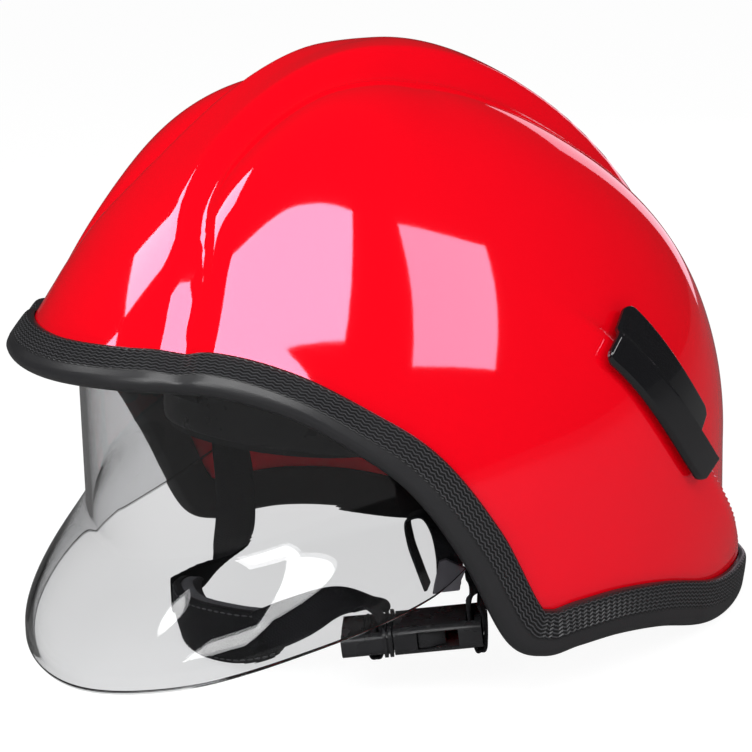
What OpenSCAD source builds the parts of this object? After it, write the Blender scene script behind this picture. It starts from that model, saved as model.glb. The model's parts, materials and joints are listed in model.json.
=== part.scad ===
// Fire helmet of the jet style: glossy shell with a raised comb, rubber edge trim,
// bell-bottomed visor that swings up inside the brow, foam liner, ratchet headband
// and chin strap. Millimetres, +Z up, +X the wearer's left, the brow faces -Y.

/* [Shell] */
// Overall width of the shell at its widest level
shell_width = 236; // [200:1:270]
// Reach of the shell from its middle to the brow, at the widest level
shell_front = 170; // [150:1:190]
// Reach of the shell from its middle to the back
shell_rear = 165; // [145:1:185]
// Height of the comb's crest over the resting plane
shell_height = 246; // [220:1:270]
// Height at which the shell is widest
shell_belt = 70; // [50:1:90]
// How far the crown lies behind the middle
crown_back = 7; // [0:1:20]
// Thickness of the shell's wall
wall = 3; // [2:0.1:5]
// Height of the brim over the brow
brow_height = 131; // [115:1:145]
// Outward lip of the shell along the brow
brim_lip = 3.5; // [0:0.5:8]
// Depth of the valley between the comb and each side lobe
valley_depth = 8.5; // [3:0.5:12]
// How far each lower side panel stands proud of the rear dome
panel_step = 9; // [3:0.5:12]

/* [Edge trim] */
// Height of the trim up the shell's outer face
trim_height = 16; // [10:0.5:22]
// Thickness of each lip of the trim
trim_lip = 3.8; // [2:0.1:6]
// Rubber under the shell's edge
trim_under = 3; // [2:0.1:5]

/* [Visor] */
// Half of the visor's width
visor_half_width = 98; // [90:1:102]
// Reach of the visor's face in front of its middle
visor_reach = 134; // [124:1:138]
// Thickness of the clear sheet
visor_sheet = 2.5; // [1.5:0.1:4]
// How far the bell-shaped foot of the visor stands out
visor_bell = 31; // [10:1:36]
// Height of the bell-shaped foot
visor_bell_height = 44; // [30:1:60]
// Radius of the pivot pins
pivot_r = 4; // [3:0.1:5]
// How far the visor swings up, in degrees
visor_swing = 36; // [20:1:37]

/* [Liner and headband] */
// Thickness of the foam liner
liner_wall = 12; // [8:1:16]
// Half of the headband's width
band_half_width = 73; // [70:0.5:75]
// Half of the headband's length
band_half_length = 95; // [90:0.5:98]
// Height of the headband's strip
band_height = 26; // [18:1:32]
// Thickness of the headband's strip
band_sheet = 1.8; // [1.2:0.1:3]
// Thickness of the brow and nape pads
pad_thick = 7; // [4:0.5:9]
// Teeth of the adjuster's pinion
pinion_teeth = 12; // [10:1:16]
// Size of a tooth, as its module
tooth_module = 1; // [0.8:0.05:1.2]
// Radius of the adjuster's knob
knob_r = 17; // [13:0.5:20]

/* [Chin strap] */
// Width of the webbing
web_width = 18; // [14:1:22]
// Thickness of the webbing
web_thick = 1.6; // [1:0.1:3]
// Length of the buckle's socket
socket_length = 34; // [28:1:40]
// Width of the buckle's socket
socket_width = 26; // [24:1:32]
// Thickness of the buckle's socket
socket_thick = 11; // [9:0.5:14]
// Height of the chin cup
cup_height = 26; // [18:1:32]

/* [Side covers] */
// Length of each cover along the step of the shell
cover_length = 70; // [60:1:85]
// Width of each cover
cover_width = 30; // [24:1:36]
// Thickness of the cover's sheet
cover_sheet = 2.2; // [2:0.1:5]

/* [Hidden] */
$fn = 48;
fit_gap = 0.3;
run_gap = 0.05;
// The inner pieces' sizes are given for a shell of this width, and follow its sides when it changes
drawn_width = 236;
side_shift = (shell_width - drawn_width) / 2;
visor_side = visor_half_width + side_shift;
band_side = band_half_width + side_shift;
round_power = 2.1;
visor_power = 2.2;

// Brim height by angle from the brow, at the lower face of the trim
rim_line = [[0, brow_height], [14, brow_height + 0.5], [28, brow_height], [40, brow_height - 8],
    [50, brow_height - 21], [60, brow_height - 39], [70, brow_height - 69], [79, 27], [86, 19], [94, 19],
    [105, 18], [118, 13], [135, 2], [150, 0], [180, 0]];
// How the dome draws in over the belt, by angle from the brow
draw_a = [[0, 0.3], [35, 0.33], [90, 0.16], [180, 0.16]];
draw_b = [[0, -0.18], [35, -0.45], [90, 0], [180, 0.11]];
// The valley beside the comb, by the angle up and over from the brow
valley_side = [[20, 62], [37, 50], [45, 41], [52, 30], [60, 24], [75, 23], [90, 28], [105, 34], [120, 36],
    [150, 34], [180, 32]];
valley_share = [[20, 0.3], [45, 0.35], [55, 0.5], [70, 0.8], [85, 1], [115, 1], [130, 0.8], [155, 0.35],
    [180, 0.2]];
valley_inner = [[20, 9], [50, 10], [80, 13], [120, 13], [180, 12]];
valley_outer = [[20, 9], [48, 12], [60, 24], [75, 42], [90, 48], [120, 48], [150, 30], [180, 20]];
// Height of the side step by distance behind the middle, and its share of panel_step
step_line = [[-10, 170], [0, 160], [25, 144], [45, 126], [75, 89], [115, 44], [150, 10], [175, -30]];
step_share = [[0, 0], [20, 0.1], [45, 0.45], [75, 0.7], [110, 1], [150, 1]];
step_soft = [[0, 6], [110, 6], [150, 26]];
step_fade = 75;
brim_depth = 22;

shell_stations = 90;
shell_rows = 24;
lining_rows = 10;

// The visor's lower edge, upper edge and bell by angle from the front
visor_middle = 10;
visor_foot = [[0, 11], [20, 18.5], [40, 33.5], [60, 46], [80, 61]];
visor_top = [[0, 138], [20, 137], [40, 130], [60, 120], [84, 112]];
bell_share = [[0, 1], [30, 0.74], [60, 0.26], [73, 0], [85, 0]];
visor_side_angle = 74;
pivot_y = -5;
pivot_z = 90;

function clamp(v, a, b) = min(max(v, a), b);
function ease(s) = let (t = clamp(s, 0, 1)) t * t * (3 - 2 * t);
function unit(v) = v / norm(v);

// Smooth curve through hand-set points [place, value]
function bend(p, i) = i == 0 || i == len(p) - 1 ? 0
    : (p[i + 1][1] - p[i - 1][1]) / (p[i + 1][0] - p[i - 1][0]);
function span(p, t, i = 0) = i >= len(p) - 2 || t < p[i + 1][0] ? i : span(p, t, i + 1);
function curve(p, t) =
    t <= p[0][0] ? p[0][1]
    : t >= p[len(p) - 1][0] ? p[len(p) - 1][1]
    : let (i = span(p, t), h = p[i + 1][0] - p[i][0], s = (t - p[i][0]) / h)
        (1 + 2 * s) * pow(1 - s, 2) * p[i][1] + s * pow(1 - s, 2) * h * bend(p, i)
        + s * s * (3 - 2 * s) * p[i + 1][1] - s * s * (1 - s) * h * bend(p, i + 1);

function fold(a) = let (b = abs(a) % 360) b > 180 ? 360 - b : b;
function oval(a, half_w, half_l, power) =
    pow(pow(abs(sin(a)) / half_w, power) + pow(abs(cos(a)) / half_l, power), -1 / power);

// Plain dome without relief, at angle a from the brow and height z
function dome(a, z) =
    let (u = clamp((z - shell_belt) / (shell_height - shell_belt), 0, 1),
        f = fold(a),
        k = sqrt(1 - u * u) * (1 - curve(draw_a, f) * u * u - curve(draw_b, f) * pow(u, 4)),
        r = k * oval(a, shell_width / 2, cos(a) > 0 ? shell_front : shell_rear, round_power))
    [r * sin(a), crown_back * u - r * cos(a), z];
function outward(p) = unit(p - [0, 5, min(p[2], shell_belt + 10)]);

// Relief on the dome: comb valleys, side panels and brim lip. The foam liner has no comb.
function valley(p, comb = 1) =
    let (raw = atan2(p[2] - shell_belt, -p[1]),
        over = raw < -90 ? 180 : clamp(raw, 0, 180),
        x = abs(p[0]), side = curve(valley_side, over),
        inner = curve(valley_inner, over), outer = curve(valley_outer, over),
        g = x < side ? max(1 - comb, ease((x - side + inner) / inner))
            : pow(clamp(1 - (x - side) / outer, 0, 1), 2))
    -valley_depth * curve(valley_share, over) * g;
function panel(p) =
    p[1] <= 0 ? 0
    : let (s = (curve(step_line, p[1]) - p[2]) * 0.68, soft = curve(step_soft, p[1]))
        panel_step * curve(step_share, p[1]) * ease((s + soft / 2) / soft)
        * pow(clamp(1 - max(s, 0) / step_fade, 0, 1), 2);
function lip(a, z) =
    brim_lip * pow(clamp(1 - (z - curve(rim_line, fold(a))) / brim_depth, 0, 1), 2)
    * ease((62 - fold(a)) / 30);
function skin_at(a, z, inset = 0) =
    let (p = dome(a, z)) p + (valley(p) + panel(p) + lip(a, z) - inset) * outward(p);
function edge_z(a) = curve(rim_line, fold(a)) + trim_under;

// Angles crowd together at the ears, where the edge turns sharply
function station(i, n) = let (t = 360 * i / n) t + 12 * sin(2 * t);

// Moves every piece so that the whole stands on Z = 0 with its middle over the origin
module at_rest() {
    translate([0, -rest_middle, -rest_low])
    children();
}
// Closed solid through a stack of rings
module skin(rings, loop = false) {
    m = len(rings);
    k = len(rings[0]);
    last = (m - 1) * k;
    sides = [for (i = [0 : loop ? m - 1 : m - 2], j = [0 : k - 1])
        let (a = i * k + j, b = i * k + (j + 1) % k, c = ((i + 1) % m) * k + (j + 1) % k,
            d = ((i + 1) % m) * k + j)
        each [[a, b, c], [a, c, d]]];
    caps = loop ? [] : [for (j = [1 : k - 2]) each [[0, j + 1, j], [last, last + j, last + j + 1]]];
    polyhedron(points = [for (r = rings) each r], faces = concat(sides, caps), convexity = 8);
}

// Shell.

module outer_shell() {
    n = shell_stations;
    levels = [for (j = [shell_rows : -1 : 0]) sin(88.5 * pow(j / shell_rows, 0.9))];
    inner_levels = [for (j = [0 : lining_rows]) sin(88.5 * pow(j / lining_rows, 0.9))];
    rings = concat(
        [for (t = levels) [for (i = [0 : n - 1])
            let (a = station(i, n), z = edge_z(a) + (shell_height - edge_z(a)) * t)
            skin_at(a, z)]],
        [for (t = inner_levels) [for (i = [0 : n - 1])
            let (a = station(i, n), z = edge_z(a) + (shell_height - edge_z(a)) * t)
            skin_at(a, z, wall)]]);
    color([0.85, 0.02, 0.05]) at_rest() skin(rings);
}

// Edge trim: a rubber channel pushed over the shell's edge.

// Point on the shell's face, h millimetres up from its edge, measured square to the edge
function edge_frame(a) =
    let (p = skin_at(a, edge_z(a)), q = skin_at(a + 0.5, edge_z(a + 0.5)), n = outward(p),
        b = unit(cross(q - p, n)))
    [p, n, b[2] < 0 ? b : -b];
function on_shell(q, inset) =
    let (u = clamp((q[2] - shell_belt) / (shell_height - shell_belt), 0, 1))
    skin_at(atan2(q[0], crown_back * u - q[1]), q[2], inset);
function trim_point(f, down, inset) =
    down >= 0 ? f[0] + down * f[2] - inset * f[1] : on_shell(f[0] + down * f[2], inset);
trim_gap = 0.5;
trim_section = [
    [-trim_height, -trim_gap], [-trim_height, -trim_lip + 1], [-trim_height + 1.5, -trim_lip],
    [-trim_height / 2, -trim_lip - 0.3], [0, -trim_lip], [trim_under * 0.75, -trim_lip / 2],
    [trim_under, wall / 2], [trim_under * 0.75, wall + trim_lip / 2], [0, wall + trim_lip - 0.6],
    [-trim_height / 2, wall + trim_lip - 0.6], [-trim_height, wall + trim_lip - 1.2],
    [-trim_height, wall + trim_gap], [-trim_height / 2, wall + trim_gap], [trim_gap, wall + trim_gap],
    [trim_gap, -trim_gap], [-trim_height / 2, -trim_gap]];

module edge_trim() {
    n = shell_stations;
    rings = [for (i = [n - 1 : -1 : 0])
        let (f = edge_frame(station(i, n)))
        [for (s = trim_section) trim_point(f, s[0], s[1])]];
    color([0.13, 0.13, 0.14]) at_rest() skin(rings, loop = true);
}

rest_ends = [for (a = [0, 180], s = trim_section) trim_point(edge_frame(a), s[0], s[1])];
rest_middle = (min([for (p = rest_ends) p[1]]) + max([for (p = rest_ends) p[1]])) / 2;
rest_low = min([for (i = [0 : shell_stations - 1]) let (f = edge_frame(station(i, shell_stations)))
    each [for (s = trim_section) trim_point(f, s[0], s[1])[2]]]);

// Side covers: an upper leaf on the rear dome and a longer, proud lower leaf on the panel.

// The step runs down and back at cover_turn; cover_start is where the cover begins on it
cover_start = 36;
cover_turn = 46.5;
cover_corner = 5;
cover_short = 8;
cover_rise = 3.4;
function step_angle(y, z) =
    let (u = clamp((z - shell_belt) / (shell_height - shell_belt), 0, 1), k = dome(90, z)[0],
        t = clamp((y - crown_back * u) / (shell_rear * k / (shell_width / 2)), 0, 0.999))
    atan2(k * pow(1 - pow(t, round_power), 1 / round_power), -(y - crown_back * u));
function cover_axis(s) =
    let (y = cover_start + s * cos(cover_turn), z = curve(step_line, y))
    skin_at(step_angle(y, z), z);
function cover_point(s, w, lift) =
    let (p = cover_axis(s), t = unit(cover_axis(s + 2) - cover_axis(s - 2)), n = outward(p),
        b = unit(cross(n, t)), q = on_shell(p + w * b, 0))
    q + lift * outward(q);
// Half outline with rounded corners, s millimetres from the nearer end
function cover_half(s, half) =
    s <= 0 ? half - cover_corner
    : s >= cover_corner ? half
    : half - cover_corner + sqrt(cover_corner * cover_corner - pow(cover_corner - s, 2));

module side_cover() {
    low = -cover_width * 0.47;
    high = cover_width * 0.53;
    short = cover_length - cover_short;
    across = [-1, -0.93, -0.7, -0.5, -0.3, -0.15, -0.06, 0, 0.06, 0.12, 0.2, 0.3, 0.45, 0.65, 0.93, 1];
    rings = [for (s = [0, 1, 2.5, 5, 9, 14, 19, 24, 29, 34, 39, 44, 49, 54, short - 4, short - 2, short - 0.8, short,
            short + 0.4,
            cover_length - 3, cover_length - 1, cover_length])
        let (down = -cover_half(min(s, cover_length - s), -low),
            up = s > short ? 2 : cover_half(min(s, short - s), high),
            edge = s <= 0 || s >= cover_length ? 0.5 : 1)
        concat(
            [for (w = across) cover_point(s, w < 0 ? -w * down : w * up,
                (abs(w) == 1 ? 0.5 : 1) * edge * cover_sheet + cover_rise)],
            [for (i = [len(across) - 1 : -2 : 0])
                cover_point(s, across[i] < 0 ? -across[i] * down : across[i] * up, cover_rise)])];
    skin(rings);
}
module side_cover_left() {
    color([0.05, 0.05, 0.05]) at_rest() side_cover();
}
module side_cover_right() {
    color([0.05, 0.05, 0.05]) at_rest() mirror([1, 0, 0]) side_cover();
}

// Visor.

function visor_point(a, z, h, inset) =
    let (bell = visor_bell * curve(bell_share, abs(a)) * ease(1 - (h - 4) / visor_bell_height),
        r = oval(a, visor_side, visor_reach, visor_power) + bell - inset)
    [r * sin(a), visor_middle - r * cos(a), z];
function visor_wall(a, t, inset) =
    let (low = curve(visor_foot, abs(a)), z = low + (curve(visor_top, abs(a)) - low) * t)
    visor_point(a, z, z - low, inset);

rivet_r = 1.6;
rivet_y = -25;
rivet_heights = [99, 108];
bracket_plate = 2.2;
lens_gap = 0.8;
bracket_x = visor_side + lens_gap;

module visor_lens() {
    n = 30;
    up = [0, 0.03, 0.09, 0.16, 0.23, 0.3, 0.38, 0.48, 0.65, 0.85, 1];
    rings = [for (i = [0 : n])
        let (a = visor_side_angle * (2 * i / n - 1))
        concat(
            [for (t = up) visor_wall(a, t, 0)],
            [for (j = [len(up) - 1 : -1 : 0]) visor_wall(a, up[j], visor_sheet)])];
    color([0.8, 0.85, 0.88, 0.4]) at_rest()
    difference() {
        skin(rings);
        for (z = rivet_heights)
            translate([0, rivet_y, z])
            rotate([0, 90, 0])
            cylinder(h = 2 * visor_side + 20, r = rivet_r + 0.15, center = true);
    }
}

// Arm outside the visor's side, bent to the visor's plan, with a slot for the stop pin
function visor_plan_x(y) =
    y > visor_middle - 26 ? bracket_x
    : min(bracket_x, lens_gap + visor_side
        * pow(1 - pow((visor_middle - y) / visor_reach, visor_power), 1 / visor_power));
stop_r = 1.25;
stop_circle = 8.8;
module visor_bracket() {
    lows = [for (y = [12 : -3 : -39]) [visor_plan_x(y), y]];
    highs = [for (y = [-39 : 3 : 12]) [visor_plan_x(y) + bracket_plate, y]];
    difference() {
        intersection() {
            translate([0, 0, pivot_z - 20])
            linear_extrude(60)
            polygon(concat(lows, highs));
            translate([60, 0, 0])
            rotate([90, 0, 90])
            linear_extrude(60)
            union() {
                translate([pivot_y, pivot_z]) circle(r = 12.5);
                polygon([[pivot_y + 6, pivot_z + 11], [-12, 114], [-32, 114], [-36, 110], [-36, 96],
                    [-32, 92], [pivot_y - 7, pivot_z - 10.4]]);
            }
        }
        translate([bracket_x - 10, pivot_y, pivot_z])
        rotate([0, 90, 0])
        cylinder(h = 30, r = pivot_r + run_gap);
        // Curved slot: the stop pin sits at its rear end when the visor is down
        translate([bracket_x - 10, pivot_y, pivot_z])
        rotate([0, 90, 0])
        stop_slot();
        for (z = rivet_heights)
            translate([60, rivet_y, z])
            rotate([0, 90, 0])
            cylinder(h = 60, r = rivet_r + 0.1);
    }
}
// In the pivot's own frame local X points down and local Y to the rear
slot_margin = asin((stop_r + 0.25) / stop_circle) + 0.5;
module stop_slot() {
    rotate([0, 0, -slot_margin])
    rotate_extrude(angle = visor_swing + 2 * slot_margin)
    translate([stop_circle - stop_r - 0.25, 0])
    square([2 * stop_r + 0.5, 30]);
}
module visor_bracket_left() {
    color([0.08, 0.08, 0.09]) at_rest() visor_bracket();
}
module visor_bracket_right() {
    color([0.08, 0.08, 0.09]) at_rest() mirror([1, 0, 0]) visor_bracket();
}

// Rivets through the visor's side and the arm
module visor_rivets() {
    x = visor_plan_x(rivet_y);
    color([0.75, 0.75, 0.77]) at_rest()
    for (side = [0, 1], z = rivet_heights)
        mirror([side, 0, 0])
        translate([x, rivet_y, z])
        rotate([0, 90, 0]) {
            translate([0, 0, -visor_sheet - 1.9])
                cylinder(h = visor_sheet + bracket_plate + 3.6, r = rivet_r);
            translate([0, 0, bracket_plate + 0.5]) cylinder(h = 1.3, r = rivet_r * 2);
            translate([0, 0, -visor_sheet - 2.7]) cylinder(h = 1.1, r = rivet_r * 2);
        }
}

// Boss on the shell's inner face: flange, pivot pin and stop pin
flange_x = bracket_x + bracket_plate + 0.5;
flange_thick = 3;
boss_x = dome(90, pivot_z + 6)[0] - wall - 2.5 * fit_gap;
washer_thick = 0.6;
screw_r = 2;
module visor_pivot() {
    translate([0, pivot_y, pivot_z])
    rotate([0, 90, 0])
    difference() {
        union() {
            translate([0, 0, flange_x]) cylinder(h = flange_thick, r = 11.5);
            translate([0, 0, flange_x]) cylinder(h = boss_x - flange_x, r = 6);
            translate([0, 0, bracket_x - washer_thick - 0.3])
                cylinder(h = flange_x - bracket_x + washer_thick + 0.4, r = pivot_r);
            translate([stop_circle, 0, bracket_x]) cylinder(h = flange_x - bracket_x + 0.1, r = stop_r);
        }
        translate([0, 0, bracket_x - 5]) cylinder(h = 12, r = screw_r + 0.1);
    }
}
module visor_pivot_left() {
    color([0.2, 0.2, 0.22]) at_rest() visor_pivot();
}
module visor_pivot_right() {
    color([0.2, 0.2, 0.22]) at_rest() mirror([1, 0, 0]) visor_pivot();
}

module pivot_washers() {
    color([0.7, 0.7, 0.72]) at_rest()
    for (side = [0, 1])
        mirror([side, 0, 0])
        translate([bracket_x - washer_thick - 0.15, pivot_y, pivot_z])
        rotate([0, 90, 0])
        difference() {
            cylinder(h = washer_thick, r = pivot_r * 2);
            translate([0, 0, -1]) cylinder(h = 3, r = pivot_r + 0.15);
        }
}

// Socket screws that hold the arms on their pins
screw_head = 2.6;
module pivot_screws() {
    x = bracket_x - washer_thick - 0.4;
    color([0.6, 0.6, 0.62]) at_rest()
    for (side = [0, 1])
        mirror([side, 0, 0])
        translate([x, pivot_y, pivot_z])
        rotate([0, 90, 0])
        difference() {
            union() {
                translate([0, 0, -screw_head]) cylinder(h = screw_head, r = pivot_r + 2);
                cylinder(h = 6.5, r = screw_r);
            }
            translate([0, 0, -screw_head - 1]) cylinder(h = 2.4, r = 2, $fn = 6);
        }
}

// Foam liner.

// Gap that the raised visor needs in front, fading out over the crown and behind
liner_gap = [[0, 27], [40, 24], [70, 20], [95, 20], [120, 5], [150, 0], [180, 0]];
liner_line = [[0, 146], [40, 139], [68, 130], [80, 125], [96, 126], [112, 119], [135, 114], [180, 112]];
liner_play = 1.8;
function liner_inset(p) =
    let (up = atan2(p[2] - pivot_z, pivot_y - p[1]))
    wall + liner_play + curve(liner_gap, fold(atan2(p[0], -p[1])))
    * max(1 - ease((up - 56) / 30), 1 - ease((p[2] - 128) / 40));
function liner_point(a, t, depth) =
    let (low = curve(liner_line, fold(a)), z = low + (shell_height - 4 - low) * t, p = dome(a, z))
    p + (valley(p, 0) - liner_inset(p) - depth) * outward(p);
module impact_liner() {
    n = 48;
    levels = [for (j = [0 : 9]) sin(88 * j / 9)];
    rings = concat(
        [for (j = [9 : -1 : 0]) [for (i = [0 : n - 1]) liner_point(360 * i / n, levels[j], 0)]],
        [for (t = levels) [for (i = [0 : n - 1]) liner_point(360 * i / n, t, liner_wall)]]);
    color([0.1, 0.1, 0.11]) at_rest() skin(rings);
}

// Headband with its pads.

band_middle = 6;
band_level = [[0, 113], [60, 104], [90, 90], [130, 72], [180, 66]];
band_open = 159;
function band_point(a, out, up) =
    let (r = oval(a, band_side, band_half_length, round_power) + out)
    [r * sin(a), band_middle - r * cos(a), curve(band_level, abs(a)) + up];
module headband() {
    n = 44;
    h = band_height / 2;
    rings = [for (i = [0 : n])
        let (a = band_open * (2 * i / n - 1), g = abs(a) > 150 ? 0.55 : 1)
        [band_point(a, band_sheet / 2, -h * g), band_point(a, band_sheet / 2, h * g),
            band_point(a, -band_sheet / 2, h * g), band_point(a, -band_sheet / 2, -h * g)]];
    color([0.08, 0.08, 0.09]) at_rest() skin(rings);
}
// Cushion along the inside of the band between two angles, with rounded edges
module band_cushion(middle, reach, height) {
    n = 20;
    h = height / 2;
    rings = [for (i = [0 : n])
        let (s = 2 * i / n - 1, a = middle + reach * s, g = sqrt(max(0.04, 1 - pow(abs(s), 4))),
            b = -band_sheet / 2 - fit_gap)
        [band_point(a, b, h * g), band_point(a, b - pad_thick * 0.55 * g, h * g * 0.97),
            band_point(a, b - pad_thick * 0.9 * g, h * g * 0.6), band_point(a, b - pad_thick * g, 0),
            band_point(a, b - pad_thick * 0.9 * g, -h * g * 0.6),
            band_point(a, b - pad_thick * 0.55 * g, -h * g * 0.97), band_point(a, b, -h * g)]];
    skin(rings);
}
module brow_pad() {
    color([0.12, 0.12, 0.12]) at_rest() band_cushion(0, 62, band_height + 6);
}

// Ratchet adjuster behind the nape.

adjuster_z = curve(band_level, 180);
cover_plate = 2;
rack_rise = 1.2;
adjuster_y = band_point(band_open, band_sheet / 2 + fit_gap, 0)[1] - cover_plate - rack_rise;
box_width = 60;
box_height = 33;
box_depth = 9;
box_wall = 2.5;
pinion_r = tooth_module * pinion_teeth / 2;
tooth_top = 0.7 * tooth_module;
tooth_root = 0.95 * tooth_module;
backlash = 0.15;
rack_thick = 3;
rack_y = adjuster_y + cover_plate + rack_rise;
rack_back = box_height / 2 - box_wall - 0.3;
rack_travel = 9;
rack_length = 62;
shaft_r = 4;

function involute(t, base) = base * [cos(t) + t * PI / 180 * sin(t), sin(t) - t * PI / 180 * cos(t)];
function turned(p, a) = [p[0] * cos(a) - p[1] * sin(a), p[0] * sin(a) + p[1] * cos(a)];
module pinion_outline() {
    base = pinion_r * cos(20);
    root = pinion_r - tooth_root;
    tip = pinion_r + tooth_top;
    roll = sqrt(pow(tip / base, 2) - 1) * 180 / PI;
    at_pitch = tan(20) * 180 / PI - 20;
    half = 90 / pinion_teeth + at_pitch - backlash / 2 / pinion_r * 180 / PI;
    flank = [for (k = [0 : 4]) turned(involute(roll * k / 4, base), -half)];
    polygon([for (i = [0 : pinion_teeth - 1])
        let (a = 360 / pinion_teeth * (i + 0.5) + 90)
        each concat(
            [turned([root, 0], a - half)],
            [for (p = flank) turned(p, a)],
            [for (k = [4 : -1 : 0]) turned([flank[k][0], -flank[k][1]], a)],
            [turned([root, 0], a + half)])]);
}
// Rack with teeth below its pitch line, which is local Y = 0
module rack_outline(count) {
    pitch = PI * tooth_module;
    half = pitch / 4 - backlash / 2;
    slope = tan(20);
    polygon(concat(
        [for (i = [0 : count - 1])
            let (x = (i - (count - 1) / 2) * pitch)
            each [[x - half - tooth_root * slope, tooth_root], [x - half + tooth_top * slope, -tooth_top],
                [x + half - tooth_top * slope, -tooth_top], [x + half + tooth_root * slope, tooth_root]]],
        [[rack_length - 20, tooth_root], [rack_length - 18, tooth_root + 2],
            [rack_length - 18, rack_back - pinion_r - 2], [rack_length - 20, rack_back - pinion_r],
            [-16, rack_back - pinion_r], [-18, rack_back - pinion_r - 2], [-18, tooth_root]]));
}
module rack() {
    translate([0, rack_y + rack_thick, adjuster_z + pinion_r])
    rotate([90, 0, 0])
    linear_extrude(rack_thick)
    rack_outline(11);
}
module rack_left() {
    color([0.85, 0.85, 0.82]) at_rest() rack();
}
module rack_right() {
    color([0.85, 0.85, 0.82]) at_rest()
    translate([-(pinion_teeth % 2) * PI * tooth_module / 2, 0, 2 * adjuster_z])
    rotate([0, 180, 0])
    rack();
}

module plate_outline(w, h, r) {
    for (x = [-1, 1])
        translate([x * (w / 2 - r), 0])
        square([2 * r, h - 2 * r], center = true);
    square([w - 2 * r, h], center = true);
    for (x = [-1, 1], y = [-1, 1])
        translate([x * (w / 2 - r), y * (h / 2 - r)])
        circle(r = r);
}
module in_nape(y) {
    translate([0, y, adjuster_z])
    rotate([90, 0, 180])
    children();
}
module ratchet_housing() {
    front = adjuster_y + cover_plate;
    color([0.1, 0.1, 0.11]) at_rest()
    difference() {
        in_nape(front) linear_extrude(box_depth)
            plate_outline(box_width, box_height, 6);
        in_nape(front - 1) linear_extrude(box_depth - box_wall + 1)
            plate_outline(box_width - 2 * box_wall, box_height - 2 * box_wall, 1.5);
        for (side = [0, 1])
            translate([0, 0, side * 2 * adjuster_z])
            rotate([0, 180 * side, 0])
            translate([0, rack_y - 0.3, adjuster_z + pinion_r - tooth_top - 0.3])
            cube([box_width, rack_thick + 0.6, rack_back - pinion_r + tooth_top + 0.6]);
        in_nape(front) cylinder(h = box_depth + 1, r = shaft_r + run_gap);
    }
}
module ratchet_cover() {
    color([0.12, 0.12, 0.13]) at_rest()
    in_nape(adjuster_y) linear_extrude(cover_plate - 0.05)
        plate_outline(box_width, box_height, 6);
}
module nape_pad() {
    n = 12;
    w = box_width / 2 - 2;
    h = box_height / 2;
    rings = [for (i = [0 : n])
        let (s = 2 * i / n - 1, g = sqrt(max(0.05, 1 - pow(abs(s), 4))), y = adjuster_y - fit_gap)
        [[s * w, y, adjuster_z + h * g], [s * w, y, adjuster_z - h * g],
            [s * w, y - pad_thick * 0.6 * g, adjuster_z - h * g * 0.9],
            [s * w, y - pad_thick * g, adjuster_z - h * g * 0.4],
            [s * w, y - pad_thick * g, adjuster_z + h * g * 0.4],
            [s * w, y - pad_thick * 0.6 * g, adjuster_z + h * g * 0.9]]];
    color([0.12, 0.12, 0.12]) at_rest() skin(rings);
}
knob_y = adjuster_y + cover_plate + box_depth + fit_gap;
knob_depth = 11;
square_half = 2.4;
module adjuster_pinion() {
    color([0.8, 0.8, 0.78]) at_rest()
    difference() {
        union() {
            in_nape(rack_y - 0.4) linear_extrude(rack_thick + 0.8) rotate(180) pinion_outline();
            in_nape(rack_y) cylinder(h = knob_y - rack_y - 0.05, r = shaft_r);
            in_nape(rack_y) linear_extrude(knob_y - rack_y + 6) square(2 * square_half, center = true);
        }
        in_nape(knob_y - 2) cylinder(h = 12, r = 1);
    }
}
module adjuster_knob() {
    grips = 10;
    color([0.12, 0.12, 0.13]) at_rest()
    difference() {
        in_nape(knob_y) linear_extrude(knob_depth)
        difference() {
            circle(r = knob_r);
            for (i = [0 : grips - 1])
                rotate(360 / grips * (i + 0.5))
                translate([knob_r + 2.2, 0])
                circle(r = 4);
        }
        in_nape(knob_y - 1) linear_extrude(8) square(2 * square_half + 0.2, center = true);
        in_nape(knob_y - 1) cylinder(h = 20, r = 1.2);
        in_nape(knob_y + knob_depth - 2.5) cylinder(h = 4, r = 3.2);
        in_nape(knob_y - 1) difference() {
            cylinder(h = 7, r = knob_r - 4.5);
            cylinder(h = 7, r = 5);
        }
    }
}
module knob_screw() {
    color([0.6, 0.6, 0.62]) at_rest()
    difference() {
        union() {
            in_nape(knob_y + knob_depth - 2.4) cylinder(h = 1.8, r = 2.9);
            in_nape(knob_y - 1) cylinder(h = knob_depth - 1.3, r = 0.9);
        }
        in_nape(knob_y + knob_depth - 1.6)
        for (a = [0, 90]) rotate(a) translate([-1.8, -0.35, 0]) cube([3.6, 0.7, 3]);
    }
}

// Cradle over the crown and its pad.

function ribbon_ring(p, t, wide, w, th) =
    let (b = unit(wide - (wide * t) * t), n = cross(t, b))
    [p + b * w / 2 - n * th / 2, p - b * w / 2 - n * th / 2,
        p - b * w / 2 + n * th / 2, p + b * w / 2 + n * th / 2];
// Webbing along hand-set points, with the direction of its width at each point
function along(points, s) = [for (k = [0 : 2]) curve([for (i = [0 : len(points) - 1]) [i, points[i][k]]], s)];
function heading(points, s) =
    let (last = len(points) - 1, d = 0.02)
    unit(along(points, min(s + d, last)) - along(points, max(s - d, 0)));
module ribbon(points, wides, w, th, steps) {
    last = len(points) - 1;
    skin([for (i = [0 : steps])
        let (s = last * i / steps)
        ribbon_ring(along(points, s), heading(points, s), along(wides, s), w, th)]);
}
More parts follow.
